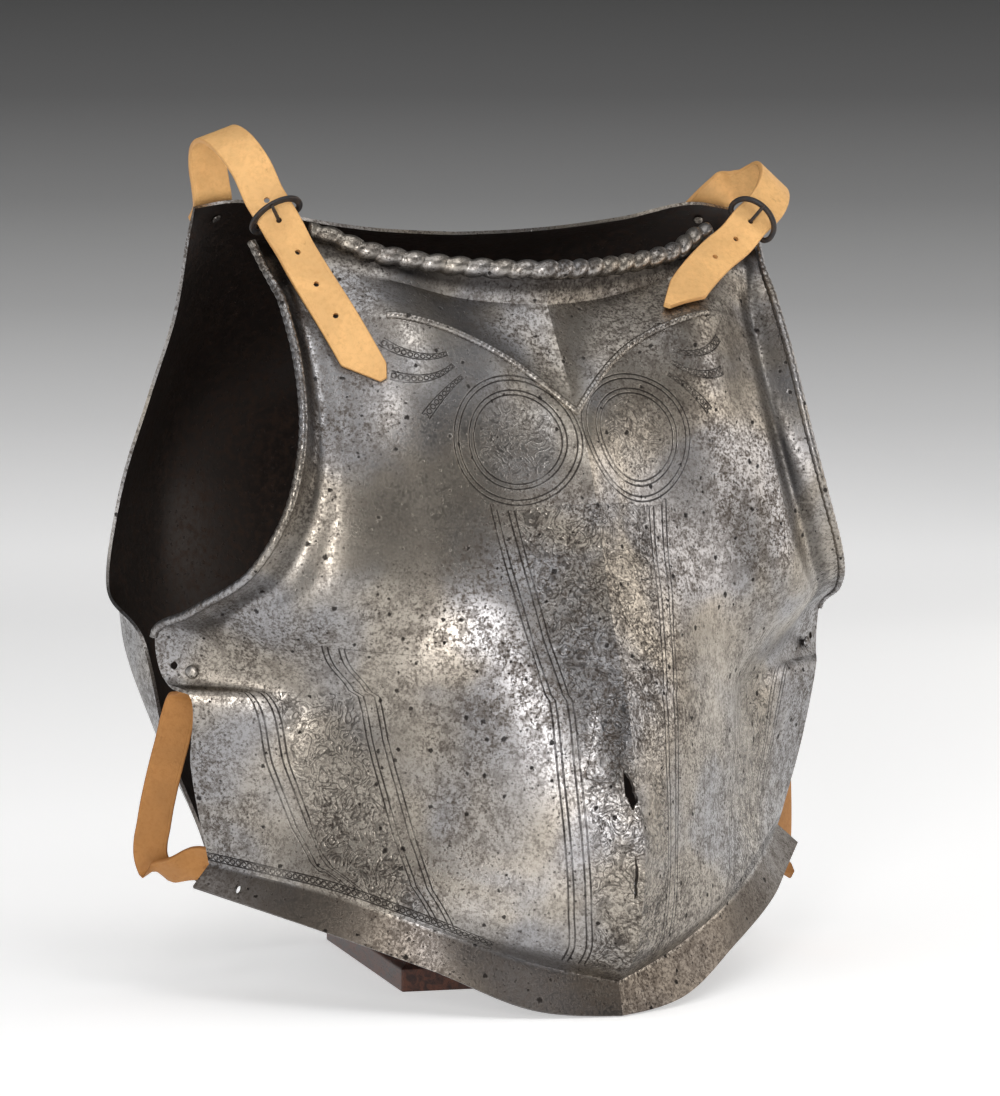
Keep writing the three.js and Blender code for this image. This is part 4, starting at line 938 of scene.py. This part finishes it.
def ragged(outline, seed, depth=0.7, steps=5):
    """An outline with the uneven edge that torn metal has."""
    out = []
    points = [(x, share * BREAST_HEIGHT) for x, share in outline]
    for (ax, az), (bx, bz) in zip(points, points[1:] + points[:1]):
        for f in np.arange(steps) / steps:
            x, z = ax + (bx - ax) * f, az + (bz - az) * f
            x += depth * noise.noise(Vector((x * 0.9, z * 0.9, seed))) * (f > 0)
            out.append((x, z / BREAST_HEIGHT))
    return out


def add_hole(bm, name, place, radius, stretch=1):
    """A cutter through the breastplate at a spot of its right or left half."""
    mirror = np.array([SIDES[name], 1, 1])
    add_pin(bm, spot(on_breast, *place) * mirror, outward_of(on_breast, *place) * mirror,
            radius, CUTTER_LENGTH, stretch)


class PlateSettings(bpy.types.PropertyGroup):
    cool: FloatVectorProperty(
        name="Cool steel", description="Bright steel where it looks blue", subtype="COLOR",
        size=3, min=0, max=1, default=(0.345, 0.34, 0.345))
    warm: FloatVectorProperty(
        name="Warm steel", description="Bright steel where it looks yellow", subtype="COLOR",
        size=3, min=0, max=1, default=(0.42, 0.38, 0.325))
    patina: FloatVectorProperty(
        name="Patina", description="Dark patina in specks and etched grooves", subtype="COLOR",
        size=3, min=0, max=1, default=(0.088, 0.073, 0.062))
    # Also the colour of the etched lines and of the painted shade in the neck groove and arm channel
    pit_and_shade: FloatVectorProperty(
        name="Pits", description="The bottoms of pits", subtype="COLOR",
        size=3, min=0, max=1, default=(0.018, 0.015, 0.014))
    flange: FloatVectorProperty(
        name="Flange", description="Browner steel of the waist flange", subtype="COLOR",
        size=3, min=0, max=1, default=(0.085, 0.068, 0.055))
    hammering: FloatProperty(
        name="Hammering", description="Depth of the uneven hand-raised surface", default=0.14 * MM,
        min=0, max=2 * MM, unit="LENGTH")


class CUIRASS_OT_breastplate(bpy.types.Operator):
    """Builds the etched breastplate with its cracks and holes"""
    bl_idname = "cuirass.breastplate"
    bl_label = "Breastplate"

    def execute(self, context):
        settings = context.scene.cuirass_plates
        piece = plate_object(
            "breastplate_shell", on_breast, BREAST_COLUMNS, BREAST_ROWS, BREAST_WALL, 1,
            settings.hammering / MM, 3.1, ornament_marks)
        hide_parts("breastplate")
        piece.data.materials.append(steel_material("etched_steel", settings, True))
        piece.data.materials.append(blackened_material("steel_inside", *BREAST_INSIDE))
        baked(piece)
        bm = bmesh.new()
        crack_prism(bm, ragged(UPPER_CRACK, 1.0))
        crack_prism(bm, ragged(LOWER_CRACK, 2.0))
        add_hole(bm, "right", EAR_HOLE, EAR_HOLE_RADIUS)
        add_hole(bm, "right", FLANGE_SLOT, FLANGE_SLOT_RADIUS, FLANGE_SLOT_STRETCH)
        add_hole(bm, "left", EAR_HOLE, EAR_HOLE_RADIUS)
        cut_away(piece, as_mesh("cutters", bm))
        sharpen(piece, SHARP_ANGLE, ridge=True)
        return {"FINISHED"}


class CUIRASS_OT_backplate(bpy.types.Operator):
    """Builds the backplate with its dark inside"""
    bl_idname = "cuirass.backplate"
    bl_label = "Backplate"

    def execute(self, context):
        settings = context.scene.cuirass_plates
        piece = plate_object(
            "backplate_shell", on_back, BACK_COLUMNS, BACK_ROWS, BACK_WALL, -1,
            settings.hammering / MM, 7.7, None)
        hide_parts("backplate")
        piece.data.materials.append(steel_material("plain_steel", settings, False))
        piece.data.materials.append(blackened_material("backplate_inside", *BACK_INSIDE))
        baked(piece)
        sharpen(piece, SHARP_ANGLE)
        return {"FINISHED"}


# Raised edges of the breastplate

NECK_ROPE_RADIUS, NECK_ROPE_RELIEF, NECK_ROPE_PITCH = 5.4, 1.7, 11.5
ARM_ROLL_RADIUS, ARM_ROLL_RELIEF, ARM_NICK_PITCH = 2.4, 0.85, 5.2
CORD_RADIUS, CORD_RELIEF, CORD_NICK_PITCH = 2.0, 0.35, 2.6
# Ends of the rope and the cord as stations, the cord's section and the arm roll's first section
NECK_ROPE_END, CORD_END, CORD_SECTION, ARM_ROLL_START = 2.9, 2.15, 14.0, 8
UP, BACKWARD = np.array([0.0, 0.0, 1.0]), np.array([0.0, 1.0, 0.0])


def wound_bar(name, centres, across, radius, relief, lobes, sides, sharpness, settings):
    """A bar with lobes that wind round it once each."""
    around = round_section(1.0, sides)
    angle = np.arange(sides) / sides
    phase = np.linspace(0, lobes, len(centres))[:, None] + angle[None, :]
    lobe = np.abs(np.cos(np.pi * phase)) ** sharpness
    radii = radius - relief * (1 - lobe)
    sections = around[None] * radii[..., None]
    mesh = swept(name, centres, np.tile(across, (len(centres), 1)), sections)
    piece = add_piece(name, mesh)
    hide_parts("breastplate")
    piece.data.materials.append(steel_material("plain_steel", settings, False))
    return piece


class CUIRASS_OT_raised_edges(bpy.types.Operator):
    """Builds the roped neck, the nicked arm edges and the cord of the V"""
    bl_idname = "cuirass.raised_edges"
    bl_label = "Raised edges"

    def execute(self, context):
        settings = context.scene.cuirass_plates
        top = len(BREAST_SECTIONS) - 1
        line = on_breast(np.linspace(-NECK_ROPE_END, NECK_ROPE_END, 400), [top])[0]
        line = line - (0, BREAST_WALL / 2, 0)
        lobes = round(reach_of(line)[-1] / NECK_ROPE_PITCH)
        wound_bar("neck_rope", evenly(line, lobes * 12), UP, NECK_ROPE_RADIUS, NECK_ROPE_RELIEF,
                  lobes, 28, 0.75, settings)
        for name, side in SIDES.items():
            line = on_breast([5.0], np.linspace(ARM_ROLL_START, top, 400))[:, 0] * (side, 1, 1)
            line = line + (0, BREAST_WALL / 2, 0)
            nicks = round(reach_of(line)[-1] / ARM_NICK_PITCH)
            wound_bar(f"arm_roll_{name}", evenly(line, nicks * 9), BACKWARD, ARM_ROLL_RADIUS,
                      ARM_ROLL_RELIEF, nicks, 16, 0.22, settings)
        line = on_breast(np.linspace(-CORD_END, CORD_END, 401), [CORD_SECTION])[0]
        nicks = round(reach_of(line)[-1] / CORD_NICK_PITCH)
        wound_bar("neck_cord", evenly(line, nicks * 6), BACKWARD, CORD_RADIUS, CORD_RELIEF,
                  nicks, 16, 0.5, settings)
        return {"FINISHED"}


# Straps

class LeatherSettings(bpy.types.PropertyGroup):
    tan: FloatVectorProperty(
        name="Shoulder leather", description="Natural leather of the shoulder straps",
        subtype="COLOR", size=3, min=0, max=1, default=(0.82, 0.48, 0.19))
    brown: FloatVectorProperty(
        name="Side leather", description="Darker leather of the side straps", subtype="COLOR",
        size=3, min=0, max=1, default=(0.44, 0.20, 0.055))


def probe(names, side):
    """A tree of the named frame nodes, turned to the left side and in millimetres."""
    verts, faces = [], []
    for name in names:
        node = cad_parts[name]
        first = len(verts)
        for v in node.data.vertices:
            x, y, z = node.matrix_world @ v.co
            verts.append((side * x / MM, y / MM + SET_BACK, z / MM))
        faces += [[first + k for k in p.vertices] for p in node.data.polygons]
    return BVHTree.FromPolygons(verts, faces)


def height_above(tree, point, direction, far=40.0):
    hit = tree.ray_cast(Vector(point + direction * far), Vector(-direction))
    return far - hit[3] if hit[0] is not None else -1e9


def lift_clear(centres, acrosses, edges, normals, thickness, tree, first, last):
    """Moves sections of a strap outward until they lie clear of what is below them."""
    lift = np.zeros(len(centres))
    for i in range(first, last + 1):
        ahead = unit(centres[min(i + 1, len(centres) - 1)] - centres[max(i - 1, 0)])
        across = unit(acrosses[i] - ahead * acrosses[i].dot(ahead))
        heights = [
            height_above(tree, centres[i] + across * a + ahead * f, normals[i])
            for a in np.linspace(*edges[i], 9) for f in (-3, -1.5, 0, 1.5, 3)]
        lift[i] = max(0, max(heights) + thickness / 2 + GAP + FACET)
    for _ in range(12):
        for i in range(max(first, 1), min(last, len(centres) - 2) + 1):
            lift[i] = max(lift[i], (lift[i - 1] + lift[i + 1]) / 2)
    return centres + normals * lift[:, None]


def buckle_axes(shape):
    """Directions along the strap, out of it and across it at the buckle, and the pivot bar."""
    along = unit(shape["along"])
    out = np.array(shape["outward"])
    out = unit(out - along * out.dot(along))
    over = WRAP_RADIUS + CHAPE_THICKNESS / 2 + GAP + STRAP_THICKNESS / 2
    bar = sized(shape["hole"]) - out * (over + STRAP_THICKNESS / 2) - along * TONGUE_AHEAD
    return along, out, np.cross(out, along), bar, over


def strap_mesh(name, side, centres, acrosses, width, thickness, tip=None, spacing=1.1):
    """A strap through its sections, turned over for the right side."""
    path = spline(centres)
    turns = spline(acrosses)
    fine = np.linspace(0, len(centres) - 1, 1600)
    line = path(fine)
    reach = reach_of(line)
    count = int(reach[-1] / spacing)
    values = np.interp(np.linspace(0, reach[-1], count + 1), reach, fine)
    line, across = path(values), unit(turns(values))
    left = reach_of(line)[-1] - reach_of(line)
    half = width / 2
    sections, spread = [], []
    for rest in left:
        low, high = -half, half
        if tip:
            outer, inner, middle = tip
            high = min(half, middle + 2 + (half - middle - 2) * rest / outer)
            low = max(-half, middle - 2 - (half + middle - 2) * rest / inner)
        section = band_section(low, high, thickness, 0.65)
        sections.append(section)
        spread.append((section[:, 0] - low) / (high - low) * width - half)
    marks = {
        "across": np.array(spread),
        "along": np.tile(reach_of(line)[:, None], (1, len(sections[0]))),
    }
    return sided(swept(name, line, across, np.array(sections), marks=marks), side)


def shoulder_line(name, shape):
    """The coarse sections of a shoulder strap, lifted clear of the plates."""
    side = SIDES[name]
    along, out, across, bar, over = buckle_axes(shape)
    controls = [
        (spot(on_back, u, v) + outward_of(on_back, u, v, -1) * (GAP + FACET + STRAP_THICKNESS / 2),
         np.array([1, 0, -0.12])) for u, v in STRAP_ROOT]
    controls += [(sized(point), np.array(turn)) for point, turn in shape["loop"]]
    at_bar = bar + out * over
    controls += [(at_bar - along * BUCKLE_REACH, across), (at_bar, across)]
    first_tail = len(controls)
    surface = []
    for u, v, lift in shape["tail"]:
        normal = outward_of(on_breast, u, v)
        surface.append((spot(on_breast, u, v) + normal * lift, normal))
    for i, (point, normal) in enumerate(surface):
        before = surface[i - 1][0] if i else at_bar
        after = surface[min(i + 1, len(surface) - 1)][0]
        controls.append((point, np.cross(normal, unit(after - before))))
    counts = []
    for i in range(len(controls) - 1):
        if i + 1 < first_tail:
            counts.append(3 if i == 0 else 2)
        else:
            counts.append(5 if i + 1 == first_tail + len(surface) - 1 else 3)
    steps = steps_of(counts)
    centres = spline([p for p, _ in controls])(steps)
    acrosses = unit(spline([unit(a) for _, a in controls])(steps))
    ends = [min(i + 1, len(centres) - 1) for i in range(len(centres))]
    starts = [max(i - 1, 0) for i in range(len(centres))]
    normals = unit(np.cross(centres[ends] - centres[starts], acrosses))
    half = STRAP_WIDTH / 2
    outer, inner, middle = shape["tip"]
    rest = reach_of(centres)[-1] - reach_of(centres)
    edges = [(max(-half, middle - 2 - (half + middle - 2) * s / inner),
              min(half, middle + 2 + (half - middle - 2) * s / outer)) for s in rest]
    tail_start = int(np.argmin(np.abs(steps - (first_tail - 1))))
    below = probe(["breastplate", f"buckle_chape_{name}", f"chape_rivet_{name}"], side)
    centres = lift_clear(
        centres, acrosses, edges, normals, STRAP_THICKNESS, probe(["backplate"], side), 0, 5)
    centres = lift_clear(
        centres, acrosses, edges, normals, STRAP_THICKNESS, below, tail_start + 1, len(centres) - 1)
    return centres, acrosses, normals, tail_start


class CUIRASS_OT_shoulder_straps(bpy.types.Operator):
    """Builds the two leather shoulder straps with their punched holes"""
    bl_idname = "cuirass.shoulder_straps"
    bl_label = "Shoulder straps"

    def execute(self, context):
        tone = context.scene.cuirass_leather.tan
        for name, shape in SHOULDER.items():
            side = SIDES[name]
            centres, acrosses, normals, tail_start = shoulder_line(name, shape)
            label = f"shoulder_leather_{name}"
            mesh = strap_mesh(
                label, side, centres, acrosses, STRAP_WIDTH, STRAP_THICKNESS, shape["tip"])
            piece = add_piece(label, mesh, (f"shoulder_strap_{name}",))
            piece.data.materials.append(leather_material("shoulder_leather", tone, STRAP_WIDTH / 2))
            bm = bmesh.new()
            mirror = np.array([side, 1, 1])
            for pitches in shape["holes"]:
                want = pitches * HOLE_PITCH + TONGUE_AHEAD
                line = centres[tail_start:] if want >= 0 else centres[tail_start::-1]
                reach = reach_of(line)
                point = np.array([np.interp(abs(want), reach, line[:, k]) for k in range(3)])
                near = int(np.argmin(np.linalg.norm(centres - point, axis=1)))
                add_pin(bm, point * mirror, normals[near] * mirror, HOLE_RADIUS, 8)
            cut_away(piece, as_mesh("cutters", bm))
            sharpen(piece, 50)
        return {"FINISHED"}


class CUIRASS_OT_side_straps(bpy.types.Operator):
    """Builds the two leather side straps that fold back inside the breastplate"""
    bl_idname = "cuirass.side_straps"
    bl_label = "Side straps"

    def execute(self, context):
        tone = context.scene.cuirass_leather.brown
        depth = BREAST_WALL + GAP + FACET + SIDE_STRAP_THICKNESS / 2

        def within(u, v):
            return spot(on_breast, u, v) - outward_of(on_breast, u, v) * depth

        flat = np.array([0.89, 0.45, 0])
        for name, rows in SIDE_STRAPS.items():
            side = SIDES[name]
            controls = [(within(*place), flat) for place in SIDE_STRAP_TOP]
            controls += [(sized(point), np.array(turn)) for point, turn in rows]
            controls += [(within(*place), flat) for place in SIDE_STRAP_FOOT]
            counts = [2 if 0 < i < len(rows) + 2 else 3 for i in range(len(controls) - 1)]
            steps = steps_of(counts)
            centres = spline([p for p, _ in controls])(steps)
            acrosses = unit(spline([unit(a) for _, a in controls])(steps))
            last = len(steps) - 1
            rivets = [EAR_RIVET if i < last / 2 else LOWER_RIVET for i in range(last + 1)]
            normals = np.array([-outward_of(on_breast, *rivet) for rivet in rivets])
            edges = [(-SIDE_STRAP_WIDTH / 2, SIDE_STRAP_WIDTH / 2)] * (last + 1)
            plate = probe(["breastplate"], side)
            for first, final in ((0, 5), (last - 5, last)):
                centres = lift_clear(
                    centres, acrosses, edges, normals, SIDE_STRAP_THICKNESS, plate, first, final)
            label = f"side_leather_{name}"
            mesh = strap_mesh(label, side, centres, acrosses, SIDE_STRAP_WIDTH, SIDE_STRAP_THICKNESS)
            piece = add_piece(label, mesh, (f"side_strap_{name}",))
            piece.data.materials.append(leather_material("side_leather", tone, SIDE_STRAP_WIDTH / 2))
            sharpen(piece, 50)
        return {"FINISHED"}


# Buckles, rivets and wood

class MetalSettings(bpy.types.PropertyGroup):
    iron: FloatVectorProperty(
        name="Buckle iron", description="Blackened iron of the buckles", subtype="COLOR", size=3,
        min=0, max=1, default=(0.035, 0.034, 0.036))
    rust: FloatVectorProperty(
        name="Buckle rust", description="Brown that shows through the black", subtype="COLOR",
        size=3, min=0, max=1, default=(0.075, 0.05, 0.035))
    edge: FloatProperty(
        name="Edge", description="Rounding of the buckle strips' edges", default=0.25 * MM,
        min=0, max=1 * MM, unit="LENGTH")


class WoodSettings(bpy.types.PropertyGroup):
    dark: FloatVectorProperty(
        name="Dark grain", description="Dark grain of the stand", subtype="COLOR", size=3,
        min=0, max=1, default=(0.030, 0.010, 0.007))
    light: FloatVectorProperty(
        name="Light grain", description="Light grain of the stand", subtype="COLOR", size=3,
        min=0, max=1, default=(0.115, 0.038, 0.020))
    edge: FloatProperty(
        name="Edge", description="Rounding of the stand's edges", default=0.9 * MM,
        min=0, max=5 * MM, unit="LENGTH")


def finished(node, material):
    """Joins a frame node's loose triangles and gives it a finish."""
    weld = node.modifiers.new("Weld", "WELD")
    weld.merge_threshold = 1e-6
    node.data.materials.clear()
    node.data.materials.append(material)


def rounded(node, material, width, angle):
    """Gives a frame node a finish and rounded edges."""
    finished(node, material)
    bevel = node.modifiers.new("Edges", "BEVEL")
    bevel.width = width
    bevel.segments = 3
    bevel.limit_method = "ANGLE"
    bevel.angle_limit = math.radians(angle)


def domed(node, material, levels):
    """Gives a frame node a finish and a round form."""
    finished(node, material)
    smooth = node.modifiers.new("Round", "SUBSURF")
    smooth.levels = smooth.render_levels = levels


class CUIRASS_OT_buckles(bpy.types.Operator):
    """Builds the buckle frames and finishes the tongues and chapes"""
    bl_idname = "cuirass.buckles"
    bl_label = "Buckles"

    def execute(self, context):
        settings = context.scene.cuirass_metal
        iron = blackened_material("buckle_iron", settings.iron, settings.rust, 0.42)
        for name, shape in SHOULDER.items():
            along, out, across, bar, _ = buckle_axes(shape)
            reach = along * -math.cos(FRAME_TILT) + out * math.sin(FRAME_TILT)
            facing = out * math.cos(FRAME_TILT) + along * math.sin(FRAME_TILT)
            half = BUCKLE_WIDTH / 2 - BAR_RADIUS
            bow = []
            for degrees in np.linspace(8, 172, 11):
                angle = math.radians(degrees)
                bow.append((half * math.cos(angle), BUCKLE_REACH * (1 + 2 * math.sin(angle)) / 3, 1))
            corner = [(half * 0.66, 0, 0), (half * 0.9, 0.8, 0.1), (half, 3.2, 0.5)]
            outline = np.array(
                [(0, 0, 0)] + corner + bow + [(-a, d, f) for a, d, f in corner[::-1]] + [(0, 0, 0)])
            fine = spline(outline)(np.linspace(0, len(outline) - 1, 181))[:-1]
            centres = bar + across * fine[:, :1] + reach * fine[:, 1:2]
            depth, width = shape["frame"]
            sections = []
            for share in np.clip(fine[:, 2], 0, 1):
                w = 2 * BAR_RADIUS + (depth - 2 * BAR_RADIUS) * share
                t = 2 * BAR_RADIUS + (width - 2 * BAR_RADIUS) * share
                sections.append(band_section(-w / 2, w / 2, t, 0.42 * min(w, t), 2, 4))
            label = f"buckle_ring_{name}"
            facings = np.tile(facing, (len(centres), 1))
            mesh = swept(label, centres, facings, np.array(sections), closed=True)
            sided(mesh, SIDES[name])
            piece = add_piece(label, mesh, (f"buckle_frame_{name}",))
            piece.data.materials.append(iron)
            domed(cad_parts[f"buckle_tongue_{name}"], iron, 2)
            rounded(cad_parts[f"buckle_chape_{name}"], iron, settings.edge, 35)
        return {"FINISHED"}


class CUIRASS_OT_rivets(bpy.types.Operator):
    """Finishes the rivets"""
    bl_idname = "cuirass.rivets"
    bl_label = "Rivets"

    def execute(self, context):
        steel = steel_material("plain_steel", context.scene.cuirass_plates, False)
        for side in SIDES:
            for kind in ("strap_rivet", "chape_rivet", "ear_rivet", "side_strap_lower_rivet"):
                domed(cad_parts[f"{kind}_{side}"], steel, 2)
        return {"FINISHED"}


class CUIRASS_OT_wood(bpy.types.Operator):
    """Finishes the wooden base and post"""
    bl_idname = "cuirass.wood"
    bl_label = "Stand wood"

    def execute(self, context):
        settings = context.scene.cuirass_wood
        wood = wood_material("stained_wood", tuple(settings.dark), tuple(settings.light))
        for name in ("stand_base", "stand_post"):
            rounded(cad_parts[name], wood, settings.edge, 15)
        return {"FINISHED"}


# Studio

CAMERA_PLACE = (-1.0604, -2.1390, 0.395)
CAMERA_AIM = (0.4529, 0.8888, -0.0699)
CAMERA_LENS = 143.9
SWEEP_TURN = math.radians(-27)
# In metres: the floor's front and back ends, the radius of the bend and the wall's top
SWEEP_FRONT, SWEEP_BACK, SWEEP_BEND, SWEEP_TOP = -6.0, 2.2, 1.2, 4.5
# Heights in metres and the backdrop's grey at each: painted shade, darker towards the top, which the
# backdrop also glows with
BACKDROP_SHADE_RAMP = [
    (0.0, 0.92), (0.012, 0.91), (0.052, 0.85), (0.184, 0.56), (0.317, 0.335), (0.449, 0.19),
    (0.582, 0.10), (0.714, 0.062),
]
# name, azimuth, elevation, distance, width, height, power, colour
LIGHTS = [
    ("front_light", -34, 11, 2.6, 0.40, 1.5, 24, (1.0, 0.98, 0.96)),
    ("top_light", -20, 72, 2.1, 2.4, 1.8, 17, (1.0, 1.0, 1.0)),
    ("left_light", -92, 12, 2.4, 1.3, 1.6, 6, (0.94, 0.96, 1.0)),
    ("right_light", 114, 14, 2.4, 1.6, 1.8, 9, (1.0, 0.97, 0.93)),
    ("right_front_light", 66, 14, 2.6, 1.5, 1.5, 17, (1.0, 0.95, 0.89)),
    ("upper_light", 4, 44, 2.5, 0.8, 0.6, 6, (1.0, 1.0, 1.0)),
]
LIGHT_AIM = Vector((0, -0.06, 0.2))
# The surround is darker in front, which the steel mirrors beside its ridge
DARK_FRONT, DARK_FRONT_EDGE = (0.0, -0.98, 0.17), (0.55, 0.97)
SURROUND_TONE, DARK_FRONT_TONE = (0.98, 0.98, 1.0), (0.22, 0.22, 0.24)


class StageSettings(bpy.types.PropertyGroup):
    brightness: FloatProperty(
        name="Brightness", description="Strength of all studio lights", default=1.0, min=0, max=10)
    glow: FloatProperty(
        name="Backdrop glow", description="Light that the backdrop adds of its own", default=0.55,
        min=0, max=5)
    surround: FloatProperty(
        name="Surround", description="Strength of the grey surround", default=0.17, min=0, max=5)


def sweep_profile():
    """The floor and wall's section: distance behind the object and height."""
    floor = [(y, 0.0) for y in np.linspace(SWEEP_FRONT, SWEEP_BACK, 40)]
    bend = [(SWEEP_BACK + SWEEP_BEND * math.sin(a), SWEEP_BEND * (1 - math.cos(a)))
            for a in np.linspace(0, math.pi / 2, 40)[1:]]
    wall = [(SWEEP_BACK + SWEEP_BEND, z) for z in np.linspace(SWEEP_BEND + 0.1, SWEEP_TOP, 20)]
    return floor + bend + wall


class CUIRASS_OT_studio(bpy.types.Operator):
    """Builds the floor, backdrop, lights and camera"""
    bl_idname = "cuirass.studio"
    bl_label = "Studio"

    def execute(self, context):
        scene = context.scene
        settings = scene.cuirass_stage
        profile = np.array(sweep_profile())
        widths = np.linspace(-6, 6, 9)
        points = np.zeros((len(profile), len(widths), 3))
        points[..., 0] = widths[None, :]
        points[..., 1] = profile[:, :1]
        points[..., 2] = profile[:, 1:]
        turn = np.array([
            [math.cos(SWEEP_TURN), -math.sin(SWEEP_TURN)], [math.sin(SWEEP_TURN), math.cos(SWEEP_TURN)]])
        points[..., :2] = points[..., :2] @ turn.T
        mesh = bent_grid("sweep", points / MM + (0, SET_BACK, 0))
        sweep = bpy.data.objects.new("sweep", mesh)
        scene.collection.objects.link(sweep)
        material, g, shader = new_material("backdrop", 0.9, 0.0)
        split = g.add("ShaderNodeSeparateXYZ", {"Vector": g.here()})
        # Painted shade: the sweep's colour darkens with height, and it glows with the same colours
        ramp = g.add("ShaderNodeValToRGB", {"Fac": split.outputs["Z"]})
        shade_stops = ramp.color_ramp.elements
        for k, (height, tone) in enumerate(BACKDROP_SHADE_RAMP):
            if k >= 2:
                shade_stops.new(height)
            shade_stops[k].position = height
            shade_stops[k].color = (tone, tone, tone, 1)
        grain = g.noise(g.here(), 60.0, 3.0)
        g.feed(shader.inputs["Base Color"], ramp.outputs["Color"])
        glow = g.step(split.outputs["Z"], 0.0, 0.05, 0.90, 1.0)
        g.feed(shader.inputs["Emission Color"], g.blend(glow, (0, 0, 0, 1), ramp.outputs["Color"]))
        shader.inputs["Emission Strength"].default_value = settings.glow
        g.feed(shader.inputs["Roughness"], g.plus(0.85, g.times(grain, 0.1)))
        shader.inputs["Specular IOR Level"].default_value = 0.1
        mesh.materials.append(material)

        for name, azimuth, elevation, distance, width, height, power, colour in LIGHTS:
            data = bpy.data.lights.new(name, "AREA")
            data.shape = "RECTANGLE"
            data.size, data.size_y = width, height
            data.energy = power * settings.brightness
            data.color = colour
            light = bpy.data.objects.new(name, data)
            a, e = math.radians(azimuth), math.radians(elevation)
            direction = Vector((math.cos(e) * math.sin(a), -math.cos(e) * math.cos(a), math.sin(e)))
            light.location = LIGHT_AIM + direction * distance
            light.rotation_mode = "QUATERNION"
            light.rotation_quaternion = (-direction).to_track_quat("-Z", "Y")
            light.visible_camera = False
            scene.collection.objects.link(light)

        world = bpy.data.worlds.new("studio_surround")
        world.use_nodes = True
        background = world.node_tree.nodes["Background"]
        g = Graph(world.node_tree)
        direction = g.add("ShaderNodeTexCoord").outputs["Generated"]
        aim = g.add("ShaderNodeVectorMath", {0: direction, 1: DARK_FRONT}, operation="DOT_PRODUCT")
        in_front = g.step(aim.outputs["Value"], *DARK_FRONT_EDGE)
        tone = g.blend(in_front, (*SURROUND_TONE, 1), (*DARK_FRONT_TONE, 1))
        g.feed(background.inputs["Color"], tone)
        background.inputs["Strength"].default_value = settings.surround
        scene.world = world

        data = bpy.data.cameras.new("camera")
        data.lens = CAMERA_LENS
        data.sensor_width = 36
        data.clip_end = 50
        camera = bpy.data.objects.new("camera", data)
        camera.location = CAMERA_PLACE
        camera.rotation_mode = "QUATERNION"
        camera.rotation_quaternion = Vector(CAMERA_AIM).to_track_quat("-Z", "Y")
        scene.collection.objects.link(camera)
        scene.camera = camera
        scene.view_settings.view_transform = "Standard"
        return {"FINISHED"}


class CUIRASS_PT_panel(bpy.types.Panel):
    """Lists the settings and the steps of the cuirass"""
    bl_idname = "CUIRASS_PT_panel"
    bl_label = "Cuirass"
    bl_space_type = "VIEW_3D"
    bl_region_type = "UI"
    bl_category = "Cuirass"

    def draw(self, context):
        layout = self.layout
        for group in ("plates", "leather", "metal", "wood", "stage"):
            box = layout.box()
            settings = getattr(context.scene, f"cuirass_{group}")
            for key in settings.__annotations__:
                box.prop(settings, key)
        for step in STEPS:
            layout.operator(f"cuirass.{step}")


STEPS = (
    "studio", "breastplate", "backplate", "raised_edges", "shoulder_straps", "side_straps",
    "buckles", "rivets", "wood",
)
SETTINGS = {
    "cuirass_plates": PlateSettings, "cuirass_leather": LeatherSettings,
    "cuirass_metal": MetalSettings, "cuirass_wood": WoodSettings, "cuirass_stage": StageSettings,
}
CLASSES = (
    *SETTINGS.values(), CUIRASS_OT_studio, CUIRASS_OT_breastplate, CUIRASS_OT_backplate,
    CUIRASS_OT_raised_edges, CUIRASS_OT_shoulder_straps, CUIRASS_OT_side_straps,
    CUIRASS_OT_buckles, CUIRASS_OT_rivets, CUIRASS_OT_wood, CUIRASS_PT_panel,
)


def register():
    for cls in CLASSES:
        bpy.utils.register_class(cls)
    for name, cls in SETTINGS.items():
        setattr(bpy.types.Scene, name, PointerProperty(type=cls))


def unregister():
    for name in SETTINGS:
        delattr(bpy.types.Scene, name)
    for cls in reversed(CLASSES):
        bpy.utils.unregister_class(cls)


def main():
    register()
    for step in STEPS:
        getattr(bpy.ops.cuirass, step)()


if __name__ == "__main__":
    main()
